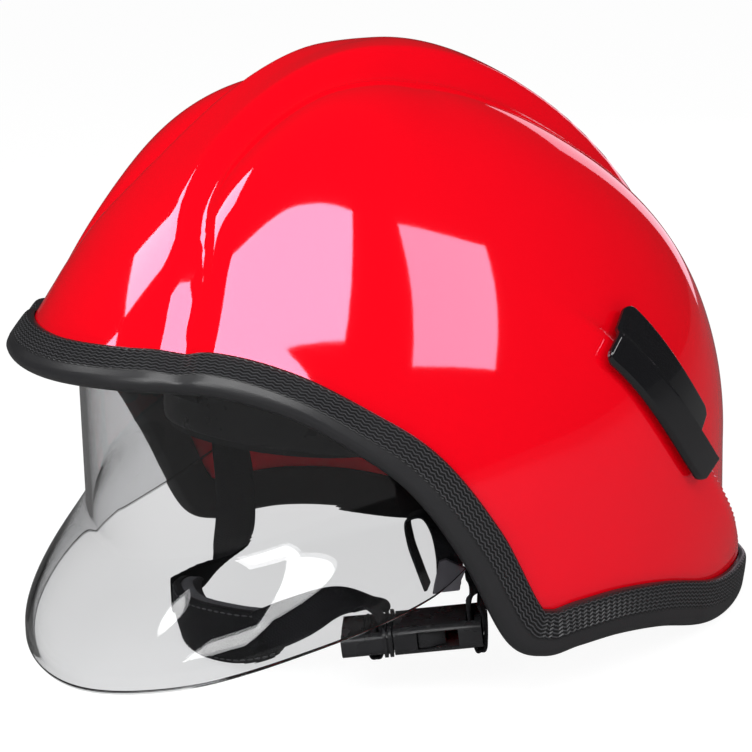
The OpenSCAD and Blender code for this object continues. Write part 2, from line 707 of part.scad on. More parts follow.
// The cradle hangs this far below the crown; its straps are drawn for the height that follows
cradle_drop = 54;
cradle_drawn = 192;
cradle_top = shell_height - cradle_drop;
function cradle_z(z) =
    let (foot = band_level[0][1])
    foot + (z - foot) * (cradle_top - foot) / (cradle_drawn - foot);
cradle_low = cradle_z(122);
cradle_width = 20;
cradle_sheet = 1.2;
module crown_strap_side() {
    x = band_side + band_sheet / 2 + fit_gap + cradle_sheet / 2;
    half = [[0, 6, cradle_top], [30, 6, cradle_z(186)], [x - 18.8, 6, cradle_z(166)], [x - 2, 6, cradle_low],
        [x, 6, 92]];
    points = concat([for (i = [4 : -1 : 1]) [-half[i][0], half[i][1], half[i][2]]], half);
    color([0.15, 0.15, 0.15]) at_rest()
    ribbon(points, [for (p = points) [0, 1, 0]], cradle_width, cradle_sheet, 24);
}
module crown_strap_long() {
    y = band_half_length + band_sheet / 2 + fit_gap + cradle_sheet / 2;
    z = cradle_top + cradle_sheet + fit_gap + 1.2;
    points = [[0, 6 - y, band_level[0][1]], [0, 6 - y, cradle_z(129)], [0, 13 - y, cradle_z(141)],
        [0, 36.8 - y, cradle_z(163)], [0, 66.8 - y, z - 10], [0, 6, z], [0, y - 56.8, z - 7],
        [0, y - 18.8, cradle_z(168)], [0, y + 1.2, cradle_z(120)],
        [0, adjuster_y + box_depth / 2, adjuster_z + box_height / 2 + fit_gap + cradle_sheet / 2]];
    color([0.15, 0.15, 0.15]) at_rest()
    ribbon(points, [for (p = points) [1, 0, 0]], cradle_width, cradle_sheet, 24);
}
crown_pad_half = [36, 42];
crown_pad_middle = 12;
module crown_pad() {
    low = cradle_top + 2.5 * cradle_sheet + 4.3;
    high = shell_height - wall - liner_play - valley_depth - liner_wall - 10;
    n = 24;
    profile = [[0.75, 0], [0.96, 0.2], [1, 0.5], [0.94, 0.8], [0.7, 1]];
    rings = [for (s = profile) [for (i = [0 : n - 1])
        let (a = 360 * i / n, r = s[0] * oval(a, crown_pad_half[0], crown_pad_half[1], 2.6),
            sag = 7 * s[0] * s[0])
        [r * sin(a), crown_pad_middle - r * cos(a), low + (high - low) * s[1] - sag]]];
    color([0.14, 0.14, 0.14]) at_rest() skin([for (r = rings) [for (k = [n - 1 : -1 : 0]) r[k]]]);
}

// Chin strap anchors on the liner's lower edge.

anchor_y = -12;
anchor_z = 102;
anchor_in = 77 + side_shift;
anchor_out = 86.5 + side_shift;
anchor_pin = 2.5;
tab_thick = 1.8;
tab_x = anchor_out + fit_gap;
rivet_head = 0.9;
module strap_anchor() {
    wall_x = 2.2;
    difference() {
        translate([anchor_in, anchor_y, anchor_z])
        rotate([90, 0, 90])
        linear_extrude(anchor_out - anchor_in)
        union() {
            circle(r = 8);
            polygon([[8, 0], [11, 8.6], [-11, 8.6], [-8, 0]]);
        }
        // Fork, open at the bottom
        translate([anchor_in + wall_x, anchor_y - 20, anchor_z - 20])
            cube([anchor_out - anchor_in - 2 * wall_x, 40, 25]);
        translate([0, anchor_y, anchor_z])
        rotate([0, 90, 0])
        cylinder(h = 200, r = anchor_pin + 0.1);
    }
}
module strap_anchor_left() {
    color([0.12, 0.12, 0.13]) at_rest() strap_anchor();
}
module strap_anchor_right() {
    color([0.12, 0.12, 0.13]) at_rest() mirror([1, 0, 0]) strap_anchor();
}
module anchor_rivets() {
    color([0.7, 0.7, 0.72]) at_rest()
    for (side = [0, 1])
        mirror([side, 0, 0])
        translate([0, anchor_y, anchor_z])
        rotate([0, 90, 0]) {
            translate([0, 0, anchor_in - 1])
                cylinder(h = tab_x + tab_thick - anchor_in + 1.5, r = anchor_pin);
            translate([0, 0, tab_x + tab_thick + 0.2]) cylinder(h = rivet_head, r = anchor_pin + 2);
            translate([0, 0, anchor_in - 0.3 - rivet_head]) cylinder(h = rivet_head, r = anchor_pin + 2);
        }
}

// Chin strap.

// End tab: a ring round the rivet over a slotted foot for the webbing
tab_drop = 18;
module strap_tab() {
    w = web_width / 2 + 2;
    translate([tab_x, anchor_y, anchor_z])
    rotate([90, 0, 90])
    linear_extrude(tab_thick)
    difference() {
        union() {
            circle(r = 6.5);
            polygon([[w, 8 - tab_drop], [6, 2], [-6, 2], [-w, 8 - tab_drop], [-w, -tab_drop],
                [w, -tab_drop]]);
        }
        circle(r = anchor_pin + run_gap);
        translate([0, 5 - tab_drop]) square([web_width + 1, 3], center = true);
    }
}
module strap_tab_left() {
    color([0.1, 0.1, 0.1]) at_rest() strap_tab();
}
module strap_tab_right() {
    color([0.1, 0.1, 0.1]) at_rest() mirror([1, 0, 0]) strap_tab();
}

buckle_at = [75 + side_shift, -37, 24.5];
buckle_turn = 50;
buckle_tilt = 5.5;
socket_in = -8;
bar_slot = 3.4;
bar_thick = 2.4;
// Point given along the buckle, across it and up; side_point's height is over the ground
function side_point(p) = let (q = turned(p, buckle_turn)) [buckle_at[0] + q[0], buckle_at[1] + q[1], p[2]];
function buckle_point(p) = side_point([p[0] * cos(buckle_tilt) - p[2] * sin(buckle_tilt), p[1],
    buckle_at[2] + p[0] * sin(buckle_tilt) + p[2] * cos(buckle_tilt)]);
buckle_along = [cos(buckle_turn), sin(buckle_turn), 0];
buckle_across = [-sin(buckle_turn), cos(buckle_turn), 0];

// Webbing on each side lies on the outer face of its tab
web_x = tab_x + tab_thick + fit_gap + web_thick / 2;
bar_z = anchor_z - tab_drop;
function web_top(side) = [[side * web_x, anchor_y, bar_z + 10], [side * web_x, anchor_y, bar_z - 6]];
socket_bar = socket_in + socket_length - bar_thick;
// Near side, from the end tab down to the buckle's socket and round its bar
strap_left_points = concat(web_top(1), [[web_x - 0.2, -12.8, 64], [web_x - 0.2, -14.6, 52],
    [web_x - 0.4, -16.9, 43.5], buckle_point([socket_bar - 1.9, 0, 9.5]),
    buckle_point([socket_bar - 1.8, 0, 3]), buckle_point([socket_bar - 0.6, 0, -7.1]),
    buckle_point([socket_bar + 1.2, 0, -7.8]), buckle_point([socket_bar + 3, 0, -7.1]),
    buckle_point([socket_bar + bar_thick + 1.4, 0, 0]),
    buckle_point([socket_bar + bar_thick + 1.3, 0, 5.5]), buckle_point([socket_bar + 2.2, 0, 10.5])]);
strap_left_wides = [for (i = [0 : len(strap_left_points) - 1])
    i < 4 ? [0, 1, 0] : i == 4 ? [-0.25, 0.97, 0] : buckle_across];
module strap_left() {
    color([0.09, 0.09, 0.09]) at_rest()
    ribbon(strap_left_points, strap_left_wides, web_width, web_thick, 40);
}
// Far side, from the end tab down to the chin cup
strap_right_points = concat(web_top(-1), [[-90.4 - side_shift, -13, 62], [-84 - side_shift, -15.5, 46],
    [-72.5 - 0.7 * side_shift, -24, 28.5], [-62 - 0.35 * side_shift, -38, 19.5],
    [-57 - 0.15 * side_shift, -56.2, 16], [-49, -71.2, 15]]);
strap_right_wides = [[0, 1, 0], [0, 1, 0], [0.15, 1, 0], [0.35, 0.92, 0], [0.6, 0.8, 0.1], [0.6, 0.3, 0.6],
    [0.2, 0.1, 1], [0, 0, 1]];
module strap_right() {
    color([0.09, 0.09, 0.09]) at_rest()
    ribbon(strap_right_points, strap_right_wides, web_width, web_thick, 28);
}
// From the chin cup over to the buckle's plug and round its bar
plug_length = 20;
plug_slot = socket_in - 6.5;
strap_front_points = [[25.9, -76.8, 19], [36 + 0.15 * side_shift, -65.5, 25.5],
    [45.5 + 0.5 * side_shift, -55.5, 31.5], [57 + 0.9 * side_shift, -49, 33],
    buckle_point([plug_slot + 0.5, 1, 9]), buckle_point([plug_slot + bar_slot / 2, 0, 0]),
    buckle_point([plug_slot + 0.8, 0, -5.9]), buckle_point([plug_slot - 1.2, 0, -6.6]),
    buckle_point([plug_slot - 3.2, 0, -5.9]), buckle_point([plug_slot - bar_thick - 1.5, 0, 0]),
    buckle_point([plug_slot - 4, 0, 5.4])];
strap_front_wides = concat([[0, 0.1, 1], [-0.4, 0.3, 0.8], [-0.6, 0.5, 0.45]],
    [for (i = [3 : 10]) buckle_across]);
module strap_front() {
    color([0.09, 0.09, 0.09]) at_rest()
    ribbon(strap_front_points, strap_front_wides, web_width, web_thick, 40);
}
// Three-cornered plate beside the near webbing, below the ear
plate_thick = 2.2;
plate_y = -4.8;
module strap_plate() {
    color([0.18, 0.18, 0.19]) at_rest()
    translate([buckle_at[0], buckle_at[1], 0])
    rotate([90, 0, buckle_turn])
    translate([0, 0, -plate_y])
    linear_extrude(plate_thick)
    polygon([[6.5, 42], [17.6, 43.2], [18.1, 47], [20.2, 52], [12, 56], [9.5, 55]]);
}
// Narrow webbing behind the plate, folded over at its top
tail_width = 10;
tail_y = plate_y + 0.2 + web_thick / 2;
strap_tail_points = [for (p = [[13.1, tail_y, 45], [13.1, tail_y, 56], [11, tail_y + 0.9, 66], [5, 1, 71.5],
    [-2, 3.5, 69], [-1.5, 4.5, 60], [1.5, 4.5, 50], [4.5, 4.5, 41]]) side_point(p)];
strap_tail_wides = concat([for (i = [0, 1]) buckle_along], [0.9 * buckle_along + 0.4 * buckle_across,
    0.4 * buckle_along + 0.9 * buckle_across], [for (i = [4 : 7]) 0.15 * buckle_along + buckle_across]);
module strap_tail() {
    color([0.09, 0.09, 0.09]) at_rest()
    ribbon(strap_tail_points, strap_tail_wides, tail_width, web_thick, 28);
}

// Cup under the chin: a padded band, crowned outward and drawn in at its ends.
cup_points = [[-49, -60.5, 15], [-35, -75.5, 14], [-11, -84.5, 13.5], [13, -79.5, 14.5], [29, -66.5, 17]];
cup_sections = [[-1, 0], [-0.85, 2.4], [-0.45, 4.2], [0, 4.8], [0.45, 4.2], [0.85, 2.4], [1, 0]];
cup_thick = 5;
cup_steps = 16;
function cup_point(s, across, out) =
    let (p = along(cup_points, s), t = heading(cup_points, s), n = unit(cross(t, [0, 0, 1])),
        last = len(cup_points) - 1, end = sqrt(max(0.2, 1 - pow(abs(2 * s / last - 1), 3))))
    p + n * out + [0, 0, 1] * across * end * cup_height / 2 - n * (1 - across) * 1.6;
module cup_shell(inner, outer, share) {
    last = len(cup_points) - 1;
    skin([for (i = [0 : cup_steps])
        let (s = last * i / cup_steps)
        concat(
            [for (c = cup_sections) cup_point(s, c[0] * share, c[1] * 0.5 + outer)],
            [for (k = [len(cup_sections) - 1 : -1 : 0])
                cup_point(s, cup_sections[k][0] * share, cup_sections[k][1] * 0.5 + inner)])]);
}
module chin_cup() {
    color([0.12, 0.12, 0.12]) at_rest() cup_shell(0, 2.2, 1);
}
module chin_pad() {
    color([0.3, 0.3, 0.31]) at_rest() cup_shell(-cup_thick, -fit_gap, 0.96);
}

// Side-release buckle. Its own +X runs from the plug to the socket.

prong_reach = 21;
guide_gap = 0.4;
buckle_wall = 2;
prong_x = socket_in - 1.2;
prong_y = 6.2;
prong_root = 1.7;
prong_thick = socket_thick - 2 * buckle_wall - 2 * guide_gap;
module at_buckle() {
    translate(buckle_at)
    rotate([0, -buckle_tilt, buckle_turn])
    children();
}
module buckle_socket() {
    inner_w = socket_width - 2 * buckle_wall;
    inner_t = socket_thick - 2 * buckle_wall;
    color([0.07, 0.07, 0.07]) at_rest()
    at_buckle()
    difference() {
        translate([socket_in, 0, 0])
        rotate([90, 0, 90])
        linear_extrude(socket_length)
        plate_outline(socket_width, socket_thick, 3.5);
        // Chamber for the plug
        translate([socket_in - 1, -inner_w / 2, -inner_t / 2]) cube([socket_length - 7, inner_w, inner_t]);
        // Side windows for the thumb and finger
        translate([socket_in + 9, -socket_width, -inner_t / 2])
            cube([socket_length - 18, 2 * socket_width, inner_t]);
        // Slot that leaves a bar for the webbing
        translate([socket_bar - bar_slot, -web_width / 2 - 0.6, -socket_thick])
            cube([bar_slot, web_width + 1.2, 2 * socket_thick]);
    }
}
module buckle_plug() {
    color([0.07, 0.07, 0.07]) at_rest()
    at_buckle()
    difference() {
        union() {
            translate([socket_in - plug_length - 0.4, 0, 0])
            rotate([90, 0, 90])
            linear_extrude(plug_length)
            plate_outline(socket_width, socket_thick - 2, 3);
            // Grip ribs beside the socket's mouth
            for (x = [1.9, 4])
                translate([socket_in - x, 0, 0])
                rotate([90, 0, 90])
                linear_extrude(1.3)
                plate_outline(socket_width + 1.4, socket_thick + 0.8, 3.6);
            // Middle guide
            translate([socket_in - 1, -2, -prong_thick / 2]) cube([prong_reach - 2, 4, prong_thick]);
        }
        // Slots on both sides of the webbing's bar
        for (x = [0, -bar_thick - bar_slot])
            translate([plug_slot + x, -web_width / 2 - 0.5, -socket_thick])
                cube([bar_slot, web_width + 1, 2 * socket_thick]);
        // Seats of the two prongs, open toward the socket
        for (y = [-prong_y, prong_y]) {
            translate([prong_x, y, -socket_thick]) cylinder(h = 2 * socket_thick, r = prong_root + run_gap);
            translate([prong_x, y - prong_root - 1.1, -socket_thick])
                cube([6, 2 * prong_root + 2.2, 2 * socket_thick]);
        }
    }
}
// Sprung prong with its barb, from its root at the origin
module prong_outline() {
    circle(r = prong_root);
    polygon([[0, 1.3], [0, -1.3], [7, -1], [14, 0.2], [prong_reach, 1.2], [prong_reach, 2.6], [14.2, 5.6],
        [10.7, 5.6], [9.2, 1.9]]);
}
module prong(side) {
    at_buckle()
    mirror([0, side, 0])
    translate([prong_x, prong_y, -prong_thick / 2])
    linear_extrude(prong_thick)
    prong_outline();
}
module prong_left() {
    color([0.07, 0.07, 0.07]) at_rest() prong(0);
}
module prong_right() {
    color([0.07, 0.07, 0.07]) at_rest() prong(1);
}

outer_shell();
edge_trim();
side_cover_left();
side_cover_right();
visor_lens();
visor_bracket_left();
visor_bracket_right();
visor_rivets();
visor_pivot_left();
visor_pivot_right();
pivot_washers();
pivot_screws();
impact_liner();
crown_pad();
crown_strap_side();
crown_strap_long();
headband();
brow_pad();
nape_pad();
ratchet_cover();
ratchet_housing();
rack_left();
rack_right();
adjuster_pinion();
adjuster_knob();
knob_screw();
strap_anchor_left();
strap_anchor_right();
anchor_rivets();
strap_tab_left();
strap_tab_right();
strap_left();
strap_right();
strap_front();
strap_tail();
strap_plate();
chin_cup();
chin_pad();
buckle_socket();
buckle_plug();
prong_left();
prong_right();
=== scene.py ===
import json
import math

import bmesh
import bpy
import numpy as np
from mathutils import Matrix, Vector


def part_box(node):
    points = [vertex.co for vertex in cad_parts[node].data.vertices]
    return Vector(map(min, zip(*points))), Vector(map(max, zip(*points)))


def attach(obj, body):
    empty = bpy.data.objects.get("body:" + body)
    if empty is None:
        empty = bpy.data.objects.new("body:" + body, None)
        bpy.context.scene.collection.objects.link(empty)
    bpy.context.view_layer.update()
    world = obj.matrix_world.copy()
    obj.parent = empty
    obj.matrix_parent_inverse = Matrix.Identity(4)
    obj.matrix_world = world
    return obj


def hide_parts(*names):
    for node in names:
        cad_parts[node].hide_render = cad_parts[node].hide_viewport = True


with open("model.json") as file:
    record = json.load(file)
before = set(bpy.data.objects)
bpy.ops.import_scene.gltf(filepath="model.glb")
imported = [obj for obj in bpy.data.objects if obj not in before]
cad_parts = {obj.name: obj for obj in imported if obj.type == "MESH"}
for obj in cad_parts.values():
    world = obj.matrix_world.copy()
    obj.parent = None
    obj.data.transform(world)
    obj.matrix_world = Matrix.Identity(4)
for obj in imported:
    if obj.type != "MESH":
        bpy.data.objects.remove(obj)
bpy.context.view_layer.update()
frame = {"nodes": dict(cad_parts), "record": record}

bl_info = {
    "name": "Fire Helmet",
    "version": (1, 0, 0),
    "blender": (4, 5, 0),
    "location": "View3D > Sidebar > Helmet",
    "description": "Dresses the packed fire helmet: shell, edge trim, visor, lining, chin strap and stage",
    "category": "Object",
}

BODY_OF = {n: b for b, nodes in frame["record"]["behaviour"]["bodies"].items() for n in nodes}

# The shapes below are worked out in the millimetres of the part's own source, where the visor turns
# about PIVOT_Y, PIVOT_Z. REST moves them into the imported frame.
PIVOT_Y, PIVOT_Z = -5.0, 90.0
_low, _high = (np.array(c) * 1000 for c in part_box("pivot_washers"))
REST = np.array([0.0, (_low[1] + _high[1]) / 2 - PIVOT_Y, (_low[2] + _high[2]) / 2 - PIVOT_Z])


# Settings.


def millimetres(name, default, low, high, text):
    return bpy.props.FloatProperty(
        name=name, description=text + ", in millimetres", default=default, min=low, max=high
    )


def colour(name, value, text):
    return bpy.props.FloatVectorProperty(
        name=name, description=text, default=value, size=3, subtype="COLOR", min=0, max=1
    )


class HelmetSizes(bpy.types.PropertyGroup):
    shell_width: millimetres("Shell width", 236, 225, 250, "Outer width of the shell")
    shell_front: millimetres("Shell front", 170, 160, 176, "Reach of the brow in front of the middle")
    shell_rear: millimetres("Shell rear", 165, 155, 175, "Reach of the shell behind the middle")
    shell_height: millimetres("Shell height", 246, 238, 256, "Height of the shell's top")
    wall: millimetres("Shell wall", 3, 2, 4, "Thickness of the shell")
    trim_height: millimetres("Trim height", 16, 10, 22, "Height of the edge trim on the shell")
    trim_lip: millimetres("Trim lip", 3.8, 2, 6, "Thickness of each lip of the trim")
    visor_sheet: millimetres("Visor sheet", 2.5, 1.5, 4, "Thickness of the clear visor")
    web_width: millimetres("Webbing width", 18, 14, 22, "Width of the chin webbing")
    web_thick: millimetres("Webbing thickness", 1.6, 1, 3, "Thickness of the chin webbing")
    stitch_pitch: millimetres("Stitch pitch", 3.2, 2, 6, "Distance from one stitch to the next")


class HelmetColours(bpy.types.PropertyGroup):
    shell: colour("Shell", (0.80, 0.0008, 0.0075), "Colour of the glossy shell")
    trim: colour("Trim", (0.012, 0.012, 0.013), "Colour of the rubber edge trim")
    cover: colour("Side covers", (0.006, 0.006, 0.007), "Colour of the side covers")
    moulding: colour("Mouldings", (0.014, 0.014, 0.015), "Colour of the black mouldings")
    webbing: colour("Webbing", (0.007, 0.007, 0.008), "Colour of the webbing")
    padding: colour("Padding", (0.010, 0.010, 0.011), "Colour of the black padding")
    chin_pad: colour("Chin pad", (0.10, 0.10, 0.108), "Colour of the chin pad's lining")
    plate: colour("Plate", (0.075, 0.070, 0.082), "Colour of the plate beside the webbing")
    # The visor's grey tint is partly the clear sheet's own and partly painted shade, standing in for the
    # shaded floor seen through the visor.
    visor: colour("Visor", (0.72, 0.723, 0.73), "Tint of the clear visor")


# Curves and forms, in millimetres.


def clamp(v, low, high):
    return np.minimum(np.maximum(v, low), high)


def ease(s):
    """0 to 1 with a soft start and end."""
    t = clamp(s, 0.0, 1.0)
    return t * t * (3 - 2 * t)


def unit(v):
    v = np.asarray(v, float)
    return v / np.maximum(np.linalg.norm(v, axis=-1, keepdims=True), 1e-12)


def spread(*values):
    """The values as arrays of one shape."""
    return np.broadcast_arrays(*(np.asarray(v, float) for v in values))


def between_points(s, h, here, there, slope_here, slope_there):
    """Smooth way from one point to the next, h further on, for s from 0 to 1."""
    return (
        (1 + 2 * s) * (1 - s) ** 2 * here
        + s * (1 - s) ** 2 * h * slope_here
        + s * s * (3 - 2 * s) * there
        - s * s * (1 - s) * h * slope_there
    )


def curve(points, t):
    """Smooth curve through [place, value] points."""
    p = np.asarray(points, float)
    t = np.asarray(t, float)
    x, y = p[:, 0], p[:, 1]
    slope = np.zeros(len(p))
    slope[1:-1] = (y[2:] - y[:-2]) / (x[2:] - x[:-2])
    i = np.clip(np.searchsorted(x, t, side="right") - 1, 0, len(p) - 2)
    h = x[i + 1] - x[i]
    return between_points(clamp((t - x[i]) / h, 0, 1), h, y[i], y[i + 1], slope[i], slope[i + 1])


def fold(a):
    """Angle from the front on either side, 0 to 180 degrees."""
    b = np.abs(a) % 360
    return np.where(b > 180, 360 - b, b)


def sind(a):
    return np.sin(np.radians(a))


def cosd(a):
    return np.cos(np.radians(a))


def oval(a, half_w, half_l, power):
    """Distance to a rounded oval's line at angle a from the front."""
    return ((np.abs(sind(a)) / half_w) ** power + (np.abs(cosd(a)) / half_l) ** power) ** (-1 / power)


# Shell: heights, depths and widths in millimetres, angles in degrees from the front. Each list holds
# [place, value] points: RIM_LINE the edge's height and DRAW how far the dome draws in by angle, VALLEY
# the hollows beside the comb by angle over the crown, STEP the step on each side by place from front
# to rear.
SHELL_BELT = 70.0
CROWN_BACK = 7.0
HEART_BACK, HEART_RISE = 5.0, 10.0
ROUND_POWER = 2.1
VALLEY_DEPTH = 8.5
PANEL_STEP = 9.0
BRIM_LIP, BRIM_DEPTH, BRIM_END, BRIM_BLEND = 3.5, 22.0, 62.0, 30.0
TRIM_UNDER = 3.0
TRIM_GAP = 0.5
TRIM_TAPER, TRIM_TAPER_END, TRIM_TAPER_BLEND = 0.28, 72.0, 30.0
EDGE_STEP = 0.5
CROWDING = 12
BROW = 131.0
RIM_LINE = [[0, BROW], [14, BROW + 0.5], [28, BROW], [40, BROW - 8], [50, BROW - 21], [60, BROW - 39],
    [70, BROW - 69], [79, 27], [86, 19], [94, 19], [105, 18], [118, 13], [135, 2], [150, 0], [180, 0]]
DRAW_A = [[0, 0.3], [35, 0.33], [90, 0.16], [180, 0.16]]
DRAW_B = [[0, -0.18], [35, -0.45], [90, 0], [180, 0.11]]
VALLEY_SIDE = [[20, 62], [37, 50], [45, 41], [52, 30], [60, 24], [75, 23], [90, 28], [105, 34],
    [120, 36], [150, 34], [180, 32]]
VALLEY_SHARE = [[20, 0.3], [45, 0.35], [55, 0.5], [70, 0.8], [85, 1], [115, 1], [130, 0.8],
    [155, 0.35], [180, 0.2]]
VALLEY_INNER = [[20, 12], [50, 12], [80, 13], [120, 13], [180, 12]]
VALLEY_OUTER = [[20, 9], [48, 12], [60, 24], [75, 42], [90, 48], [120, 48], [150, 30], [180, 20]]
STEP_LINE = [[-10, 170], [0, 160], [25, 144], [45, 126], [75, 89], [115, 44], [150, 10], [175, -30]]
STEP_SHARE = [[0, 0], [20, 0.1], [45, 0.45], [75, 0.7], [110, 1], [150, 1]]
STEP_SOFT = [[0, 6], [110, 6], [150, 26]]
STEP_SLOPE, STEP_FADE = 0.68, 75.0


class Shell:
    """The lofted form that the shell, its trim, the side covers and the liner follow."""

    def __init__(self, sizes):
        self.width = sizes.shell_width
        self.front = sizes.shell_front
        self.rear = sizes.shell_rear
        self.height = sizes.shell_height
        self.wall = sizes.wall
        self.trim_height = sizes.trim_height
        self.trim_lip = sizes.trim_lip

    def share(self, z):
        """0 at the belt, where the shell is widest, to 1 at the top."""
        return clamp((z - SHELL_BELT) / (self.height - SHELL_BELT), 0, 1)

    def dome(self, a, z):
        """The plain domed form at angle a and height z."""
        a, z = spread(a, z)
        u = self.share(z)
        f = fold(a)
        k = np.sqrt(np.maximum(1 - u * u, 0)) * (1 - curve(DRAW_A, f) * u * u - curve(DRAW_B, f) * u**4)
        length = np.where(cosd(a) > 0, self.front, self.rear)
        r = k * oval(a, self.width / 2, length, ROUND_POWER)
        return np.stack([r * sind(a), CROWN_BACK * u - r * cosd(a), z], -1)

    @staticmethod
    def outward(p):
        """Direction away from the heart of the shell, level below it."""
        heart = np.zeros_like(p)
        heart[..., 1] = HEART_BACK
        heart[..., 2] = np.minimum(p[..., 2], SHELL_BELT + HEART_RISE)
        return unit(p - heart)

    @staticmethod
    def valley(p, comb=1.0):
        """How far the skin sinks beside the comb, or across it too where comb is 0."""
        raw = np.degrees(np.arctan2(p[..., 2] - SHELL_BELT, -p[..., 1]))
        over = np.where(raw < -90, 180.0, clamp(raw, 0, 180))
        x = np.abs(p[..., 0])
        side = curve(VALLEY_SIDE, over)
        inner = curve(VALLEY_INNER, over)
        outer = curve(VALLEY_OUTER, over)
        g = np.where(
            x < side,
            np.maximum(1 - comb, ease((x - side + inner) / inner)),
            clamp(1 - (x - side) / outer, 0, 1) ** 2,
        )
        return -VALLEY_DEPTH * curve(VALLEY_SHARE, over) * g

    @staticmethod
    def panel(p):
        """How far the skin stands out below the step on each side."""
        s = (curve(STEP_LINE, p[..., 1]) - p[..., 2]) * STEP_SLOPE
        soft = curve(STEP_SOFT, p[..., 1])
        out = (
            PANEL_STEP
            * curve(STEP_SHARE, p[..., 1])
            * ease((s + soft / 2) / soft)
            * clamp(1 - np.maximum(s, 0) / STEP_FADE, 0, 1) ** 2
        )
        return np.where(p[..., 1] <= 0, 0.0, out)

    @staticmethod
    def lip(a, z):
        """How far the brim turns out above the face."""
        near = clamp(1 - (z - curve(RIM_LINE, fold(a))) / BRIM_DEPTH, 0, 1) ** 2
        return BRIM_LIP * near * ease((BRIM_END - fold(a)) / BRIM_BLEND)

    def skin_at(self, a, z, inset=0.0):
        """The outer face with its comb, steps and brim, or a place inset from it."""
        p = self.dome(a, z)
        lift = self.valley(p) + self.panel(p) + self.lip(a, z) - inset
        return p + lift[..., None] * self.outward(p)

    @staticmethod
    def edge_z(a):
        return curve(RIM_LINE, fold(a)) + TRIM_UNDER

    def on_shell(self, q, inset=0.0):
        """The place on the shell level with q."""
        u = self.share(q[..., 2])
        a = np.degrees(np.arctan2(q[..., 0], CROWN_BACK * u - q[..., 1]))
        return self.skin_at(a, q[..., 2], inset)

    def edge_frame(self, a):
        """Places on the edge, with the directions out of the shell and down past its edge."""
        p = self.skin_at(a, self.edge_z(a))
        q = self.skin_at(a + EDGE_STEP, self.edge_z(a + EDGE_STEP))
        n = self.outward(p)
        b = unit(np.cross(q - p, n))
        b = np.where(b[..., 2:3] < 0, b, -b)
        return p, n, b

    def trim_point(self, f, down, inset):
        """Point down past the edge and inset from the outer face, which it follows above the edge."""
        p, n, b = f
        below = p + down[..., None] * b - inset[..., None] * n
        above = self.on_shell(p + down[..., None] * b, inset)
        return np.where((down >= 0)[..., None], below, above)


def station(t):
    """Angles round the edge that crowd on the sides, where the rim falls steeply."""
    return t + CROWDING * np.sin(np.radians(2 * t))


# The visor's plan, and its foot, top and bell by angle from the front.

VISOR_MIDDLE = 10.0
VISOR_HALF, VISOR_REACH, VISOR_POWER = 98.0, 134.0, 2.2
VISOR_BELL, VISOR_BELL_FOOT, VISOR_BELL_HEIGHT = 31.0, 4.0, 44.0
VISOR_FOOT = [[0, 11], [20, 18.5], [40, 33.5], [60, 46], [80, 61]]
VISOR_TOP = [[0, 138], [20, 137], [40, 130], [60, 120], [84, 112]]
BELL_SHARE = [[0, 1], [30, 0.74], [60, 0.26], [73, 0], [85, 0]]
VISOR_SIDE_ANGLE = 74.0
VISOR_ROUND, VISOR_CROWDING = 0.012, 1.15


def visor_wall(a, t, inset):
    """Point on the visor at angle a, a share t of its height, and inset from its outer face."""
    a, t, inset = spread(a, t, inset)
    low = curve(VISOR_FOOT, np.abs(a))
    z = low + (curve(VISOR_TOP, np.abs(a)) - low) * t
    rise = (z - low - VISOR_BELL_FOOT) / VISOR_BELL_HEIGHT
    bell = VISOR_BELL * curve(BELL_SHARE, np.abs(a)) * ease(1 - rise)
    r = oval(a, VISOR_HALF, VISOR_REACH, VISOR_POWER) + bell - inset
    return np.stack([r * sind(a), VISOR_MIDDLE - r * cosd(a), z], -1)


# Headband, cradle and webbing routes.

BAND_MIDDLE = 6.0
BAND_HALF = (73.0, 95.0)
BAND_LEVEL = [[0, 113], [60, 104], [90, 90], [130, 72], [180, 66]]
BAND_HEIGHT = 26.0
BAND_SHEET = 1.8
BAND_END, BAND_NARROW, BAND_NARROW_SHARE = 159, 150, 0.55
PAD_THICK, PAD_REACH, PAD_OVERLAP = 7.0, 62, 6
PAD_CHANNELS, CHANNEL_DEPTH, CHANNEL_WIDTH = 6, 0.16, 0.07
SEAM_DEPTH, SEAM_SHARE = 0.9, 0.93
FIT_GAP = 0.3


def band_point(a, out, up):
    """Point at angle a, out from the headband's sheet and up from its middle line."""
    r = oval(a, BAND_HALF[0], BAND_HALF[1], ROUND_POWER) + out
    return np.stack([r * sind(a), BAND_MIDDLE - r * cosd(a), curve(BAND_LEVEL, np.abs(a)) + up], -1)


def along(points, s):
    """Point at step s on the smooth route through points, one step from each to the next."""
    p = np.asarray(points, float)
    s = np.asarray(s, float)
    last = len(p) - 1
    slope = np.zeros_like(p)
    slope[1:-1] = (p[2:] - p[:-2]) / 2
    i = np.clip(np.floor(s).astype(int), 0, last - 1)
    return between_points(clamp(s - i, 0, 1)[..., None], 1.0, p[i], p[i + 1], slope[i], slope[i + 1])


def run_length(points):
    """Way along a row of points in metres, from 0 at the first."""
    return np.concatenate([[0], np.cumsum(np.linalg.norm(np.diff(points, axis=0), axis=1))]) / 1000


def heading(points, s, d=0.02):
    """Direction of the route at step s."""
    last = len(points) - 1
    return unit(along(points, clamp(s + d, 0, last)) - along(points, clamp(s - d, 0, last)))


